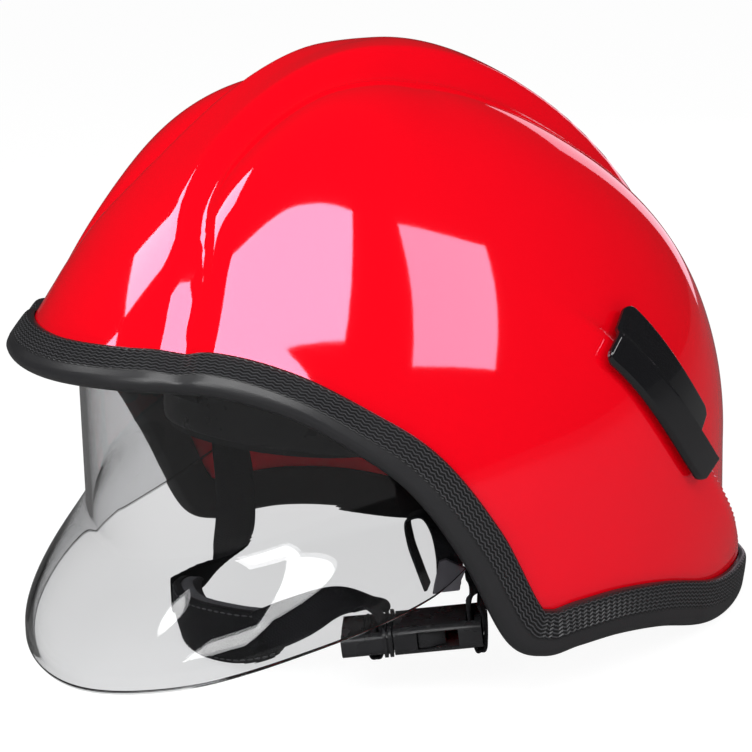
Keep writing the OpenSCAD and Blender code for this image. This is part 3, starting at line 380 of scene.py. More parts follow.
BUCKLE_AT = np.array([75.0, -37.0, 24.5])
BUCKLE_TURN, BUCKLE_TILT = 50.0, 5.5
BUCKLE_ALONG = np.array([cosd(BUCKLE_TURN), sind(BUCKLE_TURN), 0])
BUCKLE_ACROSS = np.array([-sind(BUCKLE_TURN), cosd(BUCKLE_TURN), 0])
SOCKET_IN, SOCKET_LENGTH, BAR_SLOT, BAR_THICK = -8.0, 34.0, 3.4, 2.4
SOCKET_BAR = SOCKET_IN + SOCKET_LENGTH - BAR_THICK
PLUG_NECK = 6.5
PLUG_SLOT = SOCKET_IN - PLUG_NECK
ANCHOR_X, ANCHOR_Y, ANCHOR_SHEET, WEB_HALF = 86.8, -12.0, 1.8, 0.8
WEB_X = ANCHOR_X + ANCHOR_SHEET + FIT_GAP + WEB_HALF
BAR_Z, WEB_OVER_BAR, WEB_UNDER_BAR = 84.0, 10, 6


def side_point(p):
    """Point given along the buckle and across it, and by its height over the ground."""
    return BUCKLE_AT * [1, 1, 0] + p[0] * BUCKLE_ALONG + p[1] * BUCKLE_ACROSS + [0, 0, p[2]]


def buckle_point(p):
    """Point in the buckle's own frame: along it, across it and up from its middle."""
    c, s = cosd(BUCKLE_TILT), sind(BUCKLE_TILT)
    return side_point([p[0] * c - p[2] * s, p[1], BUCKLE_AT[2] + p[0] * s + p[2] * c])


def web_top(side):
    return [[side * WEB_X, ANCHOR_Y, BAR_Z + WEB_OVER_BAR], [side * WEB_X, ANCHOR_Y, BAR_Z - WEB_UNDER_BAR]]


# Routes of the webbing from the anchors or the cup, and with each the direction across its width. The
# last points of the left and front straps go round the buckle's bars.
STRAP_LEFT = web_top(1) + [[WEB_X - 0.2, -12.8, 64], [WEB_X - 0.2, -14.6, 52], [WEB_X - 0.4, -16.9, 43.5]]
STRAP_LEFT += [
    buckle_point(p) for p in (
        [SOCKET_BAR - 1.9, 0, 9.5], [SOCKET_BAR - 1.8, 0, 3], [SOCKET_BAR - 0.6, 0, -7.1],
        [SOCKET_BAR + 1.2, 0, -7.8], [SOCKET_BAR + 3, 0, -7.1], [SOCKET_BAR + BAR_THICK + 1.4, 0, 0],
        [SOCKET_BAR + BAR_THICK + 1.3, 0, 5.5], [SOCKET_BAR + 2.2, 0, 10.5])]
STRAP_LEFT_WIDES = [[0, 1, 0]] * 4 + [[-0.25, 0.97, 0]] + [list(BUCKLE_ACROSS)] * 8
STRAP_RIGHT = web_top(-1) + [[-90.4, -13, 62], [-84, -15.5, 46], [-72.5, -24, 28.5],
    [-62, -38, 19.5], [-57, -56.2, 16], [-49, -71.2, 15]]
STRAP_RIGHT_WIDES = [[0, 1, 0], [0, 1, 0], [0.15, 1, 0], [0.35, 0.92, 0], [0.6, 0.8, 0.1], [0.6, 0.3, 0.6],
    [0.2, 0.1, 1], [0, 0, 1]]
STRAP_FRONT = [[25.9, -76.8, 19], [36, -65.5, 25.5], [45.5, -55.5, 31.5], [57, -49, 33]]
STRAP_FRONT += [
    buckle_point(p) for p in (
        [PLUG_SLOT + 0.5, 1, 9], [PLUG_SLOT + BAR_SLOT / 2, 0, 0], [PLUG_SLOT + 0.8, 0, -5.9],
        [PLUG_SLOT - 1.2, 0, -6.6], [PLUG_SLOT - 3.2, 0, -5.9], [PLUG_SLOT - BAR_THICK - 1.5, 0, 0],
        [PLUG_SLOT - 4, 0, 5.4])]
STRAP_FRONT_WIDES = [[0, 0.1, 1], [-0.4, 0.3, 0.8], [-0.6, 0.5, 0.45]] + [list(BUCKLE_ACROSS)] * 8
PLATE_Y = -4.8
TAIL_Y = PLATE_Y + 1.0
STRAP_TAIL = [side_point(p) for p in (
    [13.1, TAIL_Y, 45], [13.1, TAIL_Y, 56], [11, TAIL_Y + 0.9, 66], [5, 1, 71.5],
    [-2, 3.5, 69], [-1.5, 4.5, 60], [1.5, 4.5, 50], [4.5, 4.5, 41])]
STRAP_TAIL_WIDES = [along_share * BUCKLE_ALONG + across_share * BUCKLE_ACROSS
    for along_share, across_share in ((1, 0), (1, 0), (0.9, 0.4), (0.4, 0.9)) + ((0.15, 1),) * 4]
TAIL_WIDTH = 10.0

CUP_ROUTE = [[-49, -60.5, 15], [-35, -75.5, 14], [-11, -84.5, 13.5], [13, -79.5, 14.5], [29, -66.5, 17]]
CUP_CROWN = [[-1, 0], [-0.85, 2.4], [-0.45, 4.2], [0, 4.8], [0.45, 4.2], [0.85, 2.4], [1, 0]]
CUP_CROWN_SHARE = 0.5
CUP_HEIGHT = 26.0
CUP_COVER, CUP_THICK = 2.2, 5.0
CUP_LEAN = 1.6
CUP_END, CUP_END_POWER = 0.2, 3
CUP_EDGE, CUP_LINING_SHARE = 0.9, 0.96
CUP_SEAM, CUP_SEAM_OUT, CUP_SEAM_END = 0.86, 2.3, 0.12


def cup_point(s, across, out):
    """Point on the chin cup: step s along it, -1 to 1 up it, and out from its middle face."""
    s, across, out = spread(s, across, out)
    p, t = along(CUP_ROUTE, s), heading(CUP_ROUTE, s)
    n = unit(np.cross(t, [0, 0, 1.0]))
    last = len(CUP_ROUTE) - 1
    end = np.sqrt(np.maximum(CUP_END, 1 - np.abs(2 * s / last - 1) ** CUP_END_POWER))
    up = (across * end * CUP_HEIGHT / 2)[..., None] * np.array([0, 0, 1.0])
    return p + n * (out - (1 - across) * CUP_LEAN)[..., None] + up


# The liner's gap to the shell makes room for the visor, and closes towards the crown.
LINER_GAP = [[0, 27], [40, 24], [70, 20], [95, 20], [120, 5], [150, 0], [180, 0]]
LINER_LINE = [[0, 146], [40, 139], [68, 130], [80, 125], [96, 126], [112, 119], [135, 114], [180, 112]]
LINER_PLAY = 1.8
LINER_WALL = 12.0
LINER_EASE = 0.5
LINER_TOP = 4
LINER_TURN, LINER_TURN_BLEND = 56, 30
LINER_CROWN, LINER_CROWN_BLEND = 128, 40


def liner_point(shell, a, t, depth):
    """Point on the foam at angle a, a share t of its height, and at a depth from its outer face."""
    a, t = spread(a, t)
    low = curve(LINER_LINE, fold(a))
    z = low + (shell.height - LINER_TOP - low) * t
    p = shell.dome(a, z)
    up = np.degrees(np.arctan2(p[..., 2] - PIVOT_Z, PIVOT_Y - p[..., 1]))
    side = fold(np.degrees(np.arctan2(p[..., 0], -p[..., 1])))
    by_turn = 1 - ease((up - LINER_TURN) / LINER_TURN_BLEND)
    by_height = 1 - ease((p[..., 2] - LINER_CROWN) / LINER_CROWN_BLEND)
    inset = shell.wall + LINER_PLAY + curve(LINER_GAP, side) * np.maximum(by_turn, by_height)
    return p + (shell.valley(p, 0) - inset - depth)[..., None] * shell.outward(p)


# Meshes.


def link(name, mesh):
    obj = bpy.data.objects.new(name, mesh)
    bpy.context.scene.collection.objects.link(obj)
    return obj


def loft(name, rings, closed=False, uv=None):
    """Object through rings of points in millimetres. uv gives each quad corner its place in metres."""
    r = np.asarray(rings, float)
    m, k = r.shape[:2]
    rows = m if closed else m - 1
    i, j = np.arange(rows)[:, None], np.arange(k)[None, :]
    i2, j2 = (i + 1) % m, (j + 1) % k
    corner = np.broadcast_arrays(i * k + j, i * k + j2, i2 * k + j2, i2 * k + j)
    quads = np.stack(corner, -1).reshape(-1, 4)
    corners = None
    if uv is not None:
        uv = np.asarray(uv, float)
        corners = np.stack([uv[:-1, :-1], uv[:-1, 1:], uv[1:, 1:], uv[1:, :-1]], 2).reshape(-1, 4, 2)
    v = (r.reshape(-1, 3) + REST) / 1000
    a, b, c, d = (v[quads[:, n]] for n in range(4))
    volume = np.sum(a * np.cross(b, c)) + np.sum(a * np.cross(c, d))
    if volume < 0:
        quads = quads[:, ::-1]
        corners = None if corners is None else corners[:, ::-1]
    faces = quads.tolist()
    if not closed:
        first, last = list(range(k)), list(range((m - 1) * k, m * k))
        faces += [first[::-1], last] if volume >= 0 else [first, last[::-1]]
    mesh = bpy.data.meshes.new(name)
    mesh.from_pydata(v.tolist(), [], faces)
    if corners is not None:
        layer = mesh.uv_layers.new(name="UVMap")
        flat = np.zeros((len(mesh.loops), 2))
        flat[: corners.size // 2] = corners.reshape(-1, 2)
        layer.data.foreach_set("uv", flat.ravel())
    mesh.update()
    return link(name, mesh)


def settle(obj):
    """Turns an object with modifiers into a plain mesh without them."""
    graph = bpy.context.evaluated_depsgraph_get()
    graph.update()
    mesh = bpy.data.meshes.new_from_object(obj.evaluated_get(graph), depsgraph=graph)
    old = obj.data
    obj.modifiers.clear()
    obj.data = mesh
    mesh.name = obj.name
    if old.users == 0 and isinstance(old, bpy.types.Mesh):
        bpy.data.meshes.remove(old)
    return obj


def bevel(obj, width, segments, angle):
    """Rounds the edges sharper than angle. width is in millimetres."""
    mod = obj.modifiers.new("edges", "BEVEL")
    mod.width = width / 1000
    mod.segments = segments
    mod.limit_method = "ANGLE"
    mod.angle_limit = math.radians(angle)
    mod.miter_outer = "MITER_ARC"
    mod.use_clamp_overlap = True
    return settle(obj)


def subdivided(obj, levels=1):
    mod = obj.modifiers.new("smooth", "SUBSURF")
    mod.levels = mod.render_levels = levels
    return settle(obj)


MERGE_DISTANCE, FLAT_ANGLE = 2e-6, 0.6


def copy_of_node(node, name):
    """A merged copy of a CAD node with its flat faces joined, ready for rounding."""
    source = frame["nodes"][node]
    mesh = source.data.copy()
    mesh.transform(source.matrix_world)
    mesh.materials.clear()
    bm = bmesh.new()
    bm.from_mesh(mesh)
    bmesh.ops.remove_doubles(bm, verts=bm.verts, dist=MERGE_DISTANCE)
    bmesh.ops.dissolve_limit(bm, angle_limit=math.radians(FLAT_ANGLE), verts=bm.verts, edges=bm.edges)
    bm.to_mesh(mesh)
    bm.free()
    return link(name, mesh)


def superellipse(rows, x_power, y_power):
    """Points round a rounded rectangle from -1 to 1."""
    turn = 2 * np.pi * (np.arange(rows) + 0.5) / rows
    x, y = np.cos(turn), np.sin(turn)
    return np.sign(x) * np.abs(x) ** x_power, np.sign(y) * np.abs(y) ** y_power


def ribbon(name, points, wides, width, thick, steps):
    """Webbing along a route, with rounded edges and a UV map in metres across and along it."""
    last = len(points) - 1
    at = last * np.arange(steps + 1) / steps
    p, t = along(points, at), heading(points, at)
    wide = along(wides, at)
    b = unit(wide - np.sum(wide * t, -1, keepdims=True) * t)
    n = np.cross(t, b)
    x, y = superellipse(14, 0.35, 0.6)
    x, y = x * width / 2, y * thick / 2
    rings = p[:, None] + b[:, None] * x[None, :, None] + n[:, None] * y[None, :, None]
    around = np.append(x, x[0]) / 1000
    uv = np.stack(np.broadcast_arrays(around[None, :], run_length(p)[:, None]), -1)
    return loft(name, rings, uv=uv)


# Materials.


def add(tree, kind, inputs=None, **settings):
    """New node with its settings, and its inputs set or, where a socket is given, linked."""
    node = tree.nodes.new(kind)
    for key, value in settings.items():
        setattr(node, key, value)
    for key, value in (inputs or {}).items():
        if isinstance(value, bpy.types.NodeSocket):
            tree.links.new(value, node.inputs[key])
        else:
            node.inputs[key].default_value = value
    return node


def maths(tree, operation, a, b=0.0, c=0.0):
    return add(tree, "ShaderNodeMath", {0: a, 1: b, 2: c}, operation=operation).outputs[0]


def emptied(owner):
    """Node tree of a new material or world, without the nodes that it starts with."""
    owner.use_nodes = True
    owner.node_tree.nodes.clear()
    return owner.node_tree


def surface(name, **values):
    """New material with one Principled shader, whose plain values are set on its own sockets."""
    mat = bpy.data.materials.new(name)
    tree = emptied(mat)
    shader = add(tree, "ShaderNodeBsdfPrincipled", {k.replace("_", " "): v for k, v in values.items()})
    add(tree, "ShaderNodeOutputMaterial", {"Surface": shader.outputs[0]})
    return mat, tree, shader


def rgba(value, factor=1.0):
    return (value[0] * factor, value[1] * factor, value[2] * factor, 1.0)


# Places of the colour sockets among those of a Mix node.
MIX_LOW, MIX_HIGH, MIX_COLOUR = 6, 7, 2


def between(tree, factor, low, high):
    """Colour or grey between two values by a factor socket."""
    return add(tree, "ShaderNodeMix", {"Factor": factor, MIX_LOW: low, MIX_HIGH: high},
        data_type="RGBA").outputs[MIX_COLOUR]


def remap(tree, value, low, high, to_low, to_high):
    return add(tree, "ShaderNodeMapRange", {"Value": value, "From Min": low, "From Max": high,
        "To Min": to_low, "To Max": to_high}).outputs[0]


def noise(tree, scale, detail=2.0, stretch=None):
    where = add(tree, "ShaderNodeTexCoord").outputs["Object"]
    if stretch:
        where = add(tree, "ShaderNodeMapping", {"Vector": where, "Scale": stretch}).outputs[0]
    return add(tree, "ShaderNodeTexNoise", {"Vector": where, "Scale": scale, "Detail": detail}).outputs["Fac"]


def cells(tree, scale):
    where = add(tree, "ShaderNodeTexCoord").outputs["Object"]
    return add(tree, "ShaderNodeTexVoronoi", {"Vector": where, "Scale": scale}).outputs["Distance"]


def bump(tree, shader, height, strength, distance):
    node = add(tree, "ShaderNodeBump", {"Height": height, "Strength": strength, "Distance": distance})
    tree.links.new(node.outputs[0], shader.inputs["Normal"])


def tint(tree, shader, factor, tone, low, high):
    """Lets the base colour drift between two shares of a tone."""
    tree.links.new(between(tree, factor, rgba(tone, low), rgba(tone, high)), shader.inputs["Base Color"])


def roughen(tree, shader, drift, low, high):
    """Lets the roughness drift between two values."""
    tree.links.new(remap(tree, drift, 0.3, 0.7, low, high), shader.inputs["Roughness"])


def metres_on_piece(tree):
    """The two UV sockets of a piece whose map is laid out in metres."""
    return add(tree, "ShaderNodeSeparateXYZ", {0: add(tree, "ShaderNodeTexCoord").outputs["UV"]}).outputs


def zigzag_rows(tree, along_rows, up_rows, length, row, lean):
    """0 to 0.5 from the edge of a zigzag row to its middle."""
    zig = maths(tree, "PINGPONG", maths(tree, "DIVIDE", along_rows, length), 0.5)
    place = maths(tree, "MULTIPLY_ADD", up_rows, 1 / row, maths(tree, "MULTIPLY", zig, lean))
    return maths(tree, "PINGPONG", place, 0.5)


# Patterns in metres: the length of a zigzag, from row to row, and where the trim's grained face starts
# and ends on its section.
TRIM_ZIGZAG, TRIM_ROW = 0.0032, 0.0015
TRIM_FACE_START, TRIM_FACE_END = (0.0022, 0.0032), (0.0125, 0.0140)
WEAVE_ZIGZAG, WEAVE_ROW, WEAVE_WARP = 0.0045, 0.0013, 0.0009
THREAD = (0.05, 0.05, 0.053)


def shell_paint(colours):
    """Glossy red lacquer with a pink cast in what it mirrors, and hardly any waves."""
    mat, tree, shader = surface("shell_red", Roughness=0.045, IOR=1.6,
        Specular_IOR_Level=1.0, Specular_Tint=(1.0, 0.55, 0.86, 1.0))
    tint(tree, shader, noise(tree, 9, 3), colours.shell, 0.93, 1.06)
    bump(tree, shader, noise(tree, 260, 1), 0.06, 0.00006)
    return mat


def trim_rubber(colours):
    """Black rubber with a zigzag grain on the face that lies on the shell, and plain lips. The grain's crests
    are painted lighter as a painted highlight, and the grooves between them darker as painted shade.
    """
    mat, tree, shader = surface("trim_rubber", Specular_IOR_Level=0.5)
    uv = metres_on_piece(tree)
    row = zigzag_rows(tree, uv[0], uv[1], TRIM_ZIGZAG, TRIM_ROW, 1.0)
    face = maths(tree, "MULTIPLY",
        remap(tree, uv[1], *TRIM_FACE_START, 0, 1), remap(tree, uv[1], *TRIM_FACE_END, 1, 0))
    grain = maths(tree, "MULTIPLY", maths(tree, "MULTIPLY", row, 2.0), face)
    bump(tree, shader, maths(tree, "MULTIPLY_ADD", noise(tree, 1500, 2), 0.10, grain), 1.0, 0.0005)
    # Painted highlight and shade: the colour factor below makes the crests of the grained face light and its
    # grooves dark, following the bump.
    painted_crest_highlight = maths(tree, "POWER", grain, 2.5)
    painted_highlight_and_shade = maths(tree, "MULTIPLY_ADD", face, -0.17, maths(tree, "MULTIPLY_ADD", painted_crest_highlight, 0.9, 0.2))
    tint(tree, shader, painted_highlight_and_shade, colours.trim, 0.25, 7.0)
    roughen(tree, shader, noise(tree, 60, 3), 0.30, 0.42)
    return mat


def cover_gloss(colours):
    """Black plastic under a clear coat."""
    mat, tree, shader = surface("cover_black", Roughness=0.12, Coat_Weight=1.0, Coat_Roughness=0.02)
    tint(tree, shader, noise(tree, 30, 3), colours.cover, 0.8, 1.2)
    bump(tree, shader, noise(tree, 500, 2), 0.05, 0.00005)
    return mat


def clear_sheet(colours):
    """Clear plastic that bends light, and lets the lamps through to what is behind it. Its grey tint is
    partly painted shade.
    """
    mat = bpy.data.materials.new("visor_clear")
    tree = emptied(mat)
    # Base colour and the tint for lamp rays: the visor tint, partly the sheet's own grey and partly painted
    # shade for the shaded floor seen through it.
    glass = add(tree, "ShaderNodeBsdfPrincipled", {"Base Color": rgba(colours.visor), "Roughness": 0.0,
        "IOR": 1.49, "Transmission Weight": 1.0, "Specular IOR Level": 0.7})
    open_way = add(tree, "ShaderNodeBsdfTransparent", {"Color": rgba(colours.visor, 0.97)})
    path = add(tree, "ShaderNodeLightPath")
    mix = add(tree, "ShaderNodeMixShader", {0: path.outputs["Is Shadow Ray"], 1: glass.outputs[0],
        2: open_way.outputs[0]})
    add(tree, "ShaderNodeOutputMaterial", {"Surface": mix.outputs[0]})
    return mat


def moulded_black(colours, name="moulded_black", factor=1.0, rough=(0.34, 0.46)):
    """Black plastic with a fine moulded grain."""
    mat, tree, shader = surface(name, Specular_IOR_Level=0.3)
    tint(tree, shader, noise(tree, 40, 3), colours.moulding, 0.8 * factor, 1.25 * factor)
    roughen(tree, shader, noise(tree, 120, 3), *rough)
    bump(tree, shader, noise(tree, 1800, 2), 0.25, 0.00008)
    return mat


def plate_grey(colours):
    mat, tree, shader = surface("plate_grey", Roughness=0.38)
    tint(tree, shader, noise(tree, 70, 3), colours.plate, 0.85, 1.15)
    bump(tree, shader, noise(tree, 900, 2), 0.2, 0.00006)
    return mat


def brushed_steel():
    mat, tree, shader = surface("steel", Metallic=1.0)
    streak = noise(tree, 700, 3, stretch=(1, 0.1, 1))
    tree.links.new(between(tree, streak, (0.42, 0.42, 0.43, 1), (0.62, 0.62, 0.63, 1)),
        shader.inputs["Base Color"])
    roughen(tree, shader, streak, 0.22, 0.36)
    return mat


def liner_foam():
    """Black foam of fused beads, darker between them."""
    mat, tree, shader = surface("liner_foam", Roughness=0.8, Specular_IOR_Level=0.1)
    bead = cells(tree, 330)
    tree.links.new(between(tree, remap(tree, bead, 0.1, 0.6, 0, 1), (0.010, 0.010, 0.011, 1),
        (0.004, 0.004, 0.004, 1)), shader.inputs["Base Color"])
    bump(tree, shader, bead, 0.5, 0.0004)
    return mat


def padding_cloth(name, tone):
    """Fine knitted cover of the pads, with a soft sheen."""
    mat, tree, shader = surface(name, Roughness=0.78, Specular_IOR_Level=0.12, Sheen_Weight=0.04,
        Sheen_Roughness=0.45)
    mottle = maths(tree, "MULTIPLY", noise(tree, 90, 4), 0.5)
    knit = maths(tree, "MULTIPLY_ADD", cells(tree, 1300), 0.7, mottle)
    tint(tree, shader, knit, tone, 1.3, 0.7)
    bump(tree, shader, knit, 0.5, 0.00025)
    return mat


def woven_black(colours):
    """Webbing with a chevron weave that follows its own length."""
    mat, tree, shader = surface("webbing", Roughness=0.74, Specular_IOR_Level=0.1, Sheen_Weight=0.04,
        Sheen_Roughness=0.4)
    uv = metres_on_piece(tree)
    yarn = zigzag_rows(tree, uv[0], uv[1], WEAVE_ZIGZAG, WEAVE_ROW, 2.0)
    warp = maths(tree, "PINGPONG", maths(tree, "DIVIDE", uv[0], WEAVE_WARP), 0.5)
    weave = maths(tree, "MULTIPLY_ADD", yarn, 1.2, maths(tree, "MULTIPLY", warp, 0.7))
    fuzz = maths(tree, "MULTIPLY_ADD", noise(tree, 900, 3), 0.5, weave)
    tint(tree, shader, fuzz, colours.webbing, 0.5, 1.7)
    bump(tree, shader, weave, 0.6, 0.0003)
    return mat


def thread():
    mat, tree, shader = surface("thread", Roughness=0.6)
    tint(tree, shader, noise(tree, 2500, 2), THREAD, 0.6, 1.4)
    return mat


# Each finish with the record's slot that it belongs to, and how it is made from the scene's colours.
FINISHES = {
    "shell": ("shell_red", shell_paint),
    "trim": ("trim_rubber", trim_rubber),
    "cover": ("cover_black", cover_gloss),
    "visor": ("visor_clear", clear_sheet),
    "moulding": ("black_plastic", moulded_black),
    "buckle": ("black_plastic", lambda colours: moulded_black(colours, "buckle_black", 1.3, (0.22, 0.32))),
    "band": ("cradle_band", lambda colours: moulded_black(colours, "band_black", 0.9, (0.26, 0.36))),
    "plate": ("black_plastic", plate_grey),
    "steel": ("steel", lambda colours: brushed_steel()),
    "foam": ("liner_foam", lambda colours: liner_foam()),
    "padding": ("black_padding", lambda colours: padding_cloth("black_padding", colours.padding)),
    "chin_pad": ("grey_padding", lambda colours: padding_cloth("grey_padding", colours.chin_pad)),
    "webbing": ("webbing", woven_black),
    "thread": ("webbing", lambda colours: thread()),
}
_made = {}


def finish_named(name):
    """Slot and material of a finish, which is made once and then shared."""
    slot, maker = FINISHES[name]
    if name not in _made:
        _made[name] = maker(bpy.context.scene.helmet_colours)
    return slot, _made[name]


def finish_piece(obj, finish, node, angle=40):
    """Gives a piece its finish and body, and hides the CAD node that it stands for."""
    slot, material = finish_named(finish)
    obj.data.materials.clear()
    obj.data.materials.append(material)
    obj.data.shade_smooth()
    obj.data.set_sharp_from_angle(angle=math.radians(angle))
    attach(obj, BODY_OF[node])
    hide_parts(node)


def dress_node(node, finish, edge=0.25, segments=2, angle=32):
    """Stands a rounded copy in for a CAD node."""
    obj = bevel(copy_of_node(node, node + "_piece"), edge, segments, angle)
    finish_piece(obj, finish, node, angle)


# Rows of stitches, as a node tree.


STITCH_SHARE = 0.82


def new_tree(name, sockets):
    tree = bpy.data.node_groups.new(name, "GeometryNodeTree")
    tree.interface.new_socket("Geometry", in_out="INPUT", socket_type="NodeSocketGeometry")
    for label, kind, default in sockets:
        item = tree.interface.new_socket(label, in_out="INPUT", socket_type=kind)
        if default is not None:
            item.default_value = default
    tree.interface.new_socket("Geometry", in_out="OUTPUT", socket_type="NodeSocketGeometry")
    return tree, add(tree, "NodeGroupInput"), add(tree, "NodeGroupOutput")


def stitch_tree():
    """Stitches laid end to end along a row of edges."""
    tree, source, out = new_tree("stitch_row", [("Pitch", "NodeSocketFloat", 0.0032),
        ("Thread", "NodeSocketFloat", 0.0007), ("Material", "NodeSocketMaterial", None)])
    path = add(tree, "GeometryNodeMeshToCurve", {"Mesh": source.outputs["Geometry"]})
    points = add(tree, "GeometryNodeCurveToPoints", {"Curve": path.outputs[0],
        "Length": source.outputs["Pitch"]}, mode="LENGTH")
    turn = add(tree, "FunctionNodeAlignRotationToVector", {"Vector": points.outputs["Tangent"]}, axis="X")
    bead = add(tree, "GeometryNodeMeshUVSphere", {"Segments": 8, "Rings": 5, "Radius": 0.5})
    length = maths(tree, "MULTIPLY", source.outputs["Pitch"], STITCH_SHARE)
    size = add(tree, "ShaderNodeCombineXYZ", {0: length, 1: source.outputs["Thread"],
        2: source.outputs["Thread"]})
    row = add(tree, "GeometryNodeInstanceOnPoints", {"Points": points.outputs["Points"],
        "Instance": bead.outputs["Mesh"], "Rotation": turn.outputs[0], "Scale": size.outputs[0]})
    real = add(tree, "GeometryNodeRealizeInstances", {0: row.outputs[0]})
    done = add(tree, "GeometryNodeSetMaterial", {"Geometry": real.outputs[0],
        "Material": source.outputs["Material"]})
    tree.links.new(done.outputs[0], out.inputs[0])
    return tree


def set_input(modifier, label, value):
    for item in modifier.node_group.interface.items_tree:
        if item.item_type == "SOCKET" and item.in_out == "INPUT" and item.name == label:
            modifier[item.identifier] = value
            return
    raise KeyError(label)


def stitches(name, routes, pitch, thread_width, body):
    """One piece with a row of stitches along each route of points in millimetres."""
    verts, edges = [], []
    for route in routes:
        start = len(verts)
        verts += ((np.asarray(route, float) + REST) / 1000).tolist()
        edges += [(start + i, start + i + 1) for i in range(len(route) - 1)]
    mesh = bpy.data.meshes.new(name)
    mesh.from_pydata(verts, edges, [])
    obj = link(name, mesh)
    slot, material = finish_named("thread")
    mod = obj.modifiers.new("stitches", "NODES")
    mod.node_group = bpy.data.node_groups.get("stitch_row") or stitch_tree()
    set_input(mod, "Pitch", pitch / 1000)
    set_input(mod, "Thread", thread_width / 1000)
    set_input(mod, "Material", material)
    settle(obj)
    obj.data.shade_smooth()
    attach(obj, body)


# The pieces.


class PieceOperator(bpy.types.Operator):
    """Makes one piece, or a group of like pieces, from the scene's sizes and colours"""

    bl_idname = "helmet.piece"
    bl_label = "Piece"
    bl_options = {"REGISTER", "UNDO"}

    def execute(self, context):
        sizes = context.scene.helmet_sizes
        self.make(Shell(sizes), sizes)
        return {"FINISHED"}


# Lofts end this many degrees up, just short of the top, and a flat face closes them.
POLE_ANGLE, LINER_POLE_ANGLE = 89.6, 88


class HELMET_OT_shell(PieceOperator):
    """Loft the glossy shell with its comb, valleys and side step"""

    bl_idname = "helmet.shell"
    bl_label = "Shell"

    def make(self, shell, sizes):
        n, rows, lining = 360, 150, 60
        a = station(360 * np.arange(n) / n)[None, :]
        low = shell.edge_z(a)
        up = sind(POLE_ANGLE * (np.arange(rows, -1, -1) / rows) ** 0.9)[:, None]
        inner = sind(POLE_ANGLE * (np.arange(lining + 1) / lining) ** 0.9)[:, None]
        outside = shell.skin_at(a, low + (shell.height - low) * up)
        inside = shell.skin_at(a, low + (shell.height - low) * inner, shell.wall)
        obj = loft("shell", np.concatenate([outside, inside]))
        finish_piece(obj, "shell", "outer_shell", 60)


class HELMET_OT_edge_trim(PieceOperator):
    """Run the grained rubber channel round the shell's edge"""

    bl_idname = "helmet.edge_trim"
    bl_label = "Edge trim"

    @staticmethod
    def section(shell):
        """Section of the channel, as down past the shell's edge and in from its outer face."""
        lip, wall, tall = shell.trim_lip, shell.wall, shell.trim_height
        groove = [[-tall / 2, wall + TRIM_GAP], [TRIM_GAP, wall + TRIM_GAP], [TRIM_GAP, -TRIM_GAP],
            [-tall / 2, -TRIM_GAP]]
        outer = np.array([[-tall, -TRIM_GAP], [-tall, -lip + 1], [-tall + 1.5, -lip], [-tall / 2, -lip - 0.3],
            [-2.5, -lip - 0.2], [0, -lip], [TRIM_UNDER * 0.75, -lip / 2], [TRIM_UNDER, wall / 2],
            [TRIM_UNDER * 0.75, wall + lip / 2], [0, wall + lip - 0.6], [-tall / 2, wall + lip - 0.6],
            [-tall, wall + lip - 1.2], [-tall, wall + TRIM_GAP]], float)
        for _ in range(2):
            rounded = [outer[:1]]
            for p, q in zip(outer[:-1], outer[1:]):
                rounded.append(np.array([p * 0.75 + q * 0.25, p * 0.25 + q * 0.75]))
            outer = np.concatenate(rounded + [outer[-1:]])
        return np.concatenate([outer, np.array(groove)])

    def make(self, shell, sizes):
        section = self.section(shell)
        n, grained = 420, 8
        a = station(360 * np.arange(n) / n)
        f = shell.edge_frame(a)
        front = 1 - TRIM_TAPER * ease((TRIM_TAPER_END - fold(a)) / TRIM_TAPER_BLEND)
        rings = np.stack([
            shell.trim_point(f, down * (front if down < 0 else np.ones(n)), np.full(n, inset))
            for down, inset in section], 1)
        middle = rings[:, grained]
        run = run_length(np.append(middle, middle[:1], 0))
        across = run_length(np.append(section, section[:1], 0))
        uv = np.stack(np.broadcast_arrays(run[:, None], across[None, :]), -1)
        obj = loft("trim_channel", rings, closed=True, uv=uv)
        finish_piece(obj, "trim", "edge_trim", 50)


COVER_START, COVER_TURN, COVER_CORNER, COVER_SHORT, COVER_RISE = 36.0, 46.5, 5.0, 8.0, 3.4
COVER_LENGTH, COVER_WIDTH, COVER_SHEET = 70.0, 30.0, 2.2
COVER_END, COVER_RIM = 1.6, 1.3
LOWER_LEAF, UPPER_LEAF, UPPER_REST = 0.47, 0.53, 2.0


class SideCover:
    """Points on the black cover, s along the shell's step and w across it."""

    def __init__(self, shell):
        self.shell = shell

    def axis(self, s):
        """Place s along the step."""
        sh = self.shell
        y = COVER_START + s * cosd(COVER_TURN)
        z = curve(STEP_LINE, y)
        u = sh.share(z)
        k = sh.dome(90, z)[..., 0]
        t = clamp((y - CROWN_BACK * u) / (sh.rear * k / (sh.width / 2)), 0, 0.999)
        a = np.degrees(np.arctan2(k * (1 - t**ROUND_POWER) ** (1 / ROUND_POWER), -(y - CROWN_BACK * u)))
        return sh.skin_at(a, z)

    def point(self, s, w, lift):
        """Point lifted off the shell."""
        s, w, lift = spread(s, w, lift)
        p = self.axis(s)
        t = unit(self.axis(s + 2) - self.axis(s - 2))
        b = unit(np.cross(self.shell.outward(p), t))
        q = self.shell.on_shell(p + w[..., None] * b)
        return q + lift[..., None] * self.shell.outward(q)

    @staticmethod
    def half(s, half):
        """Width of a leaf at s from its end, with a round corner."""
        flat = half - COVER_CORNER
        round_part = flat + np.sqrt(np.maximum(COVER_CORNER**2 - (COVER_CORNER - s) ** 2, 0))
        return np.where(s <= 0, flat, np.where(s >= COVER_CORNER, half, round_part))


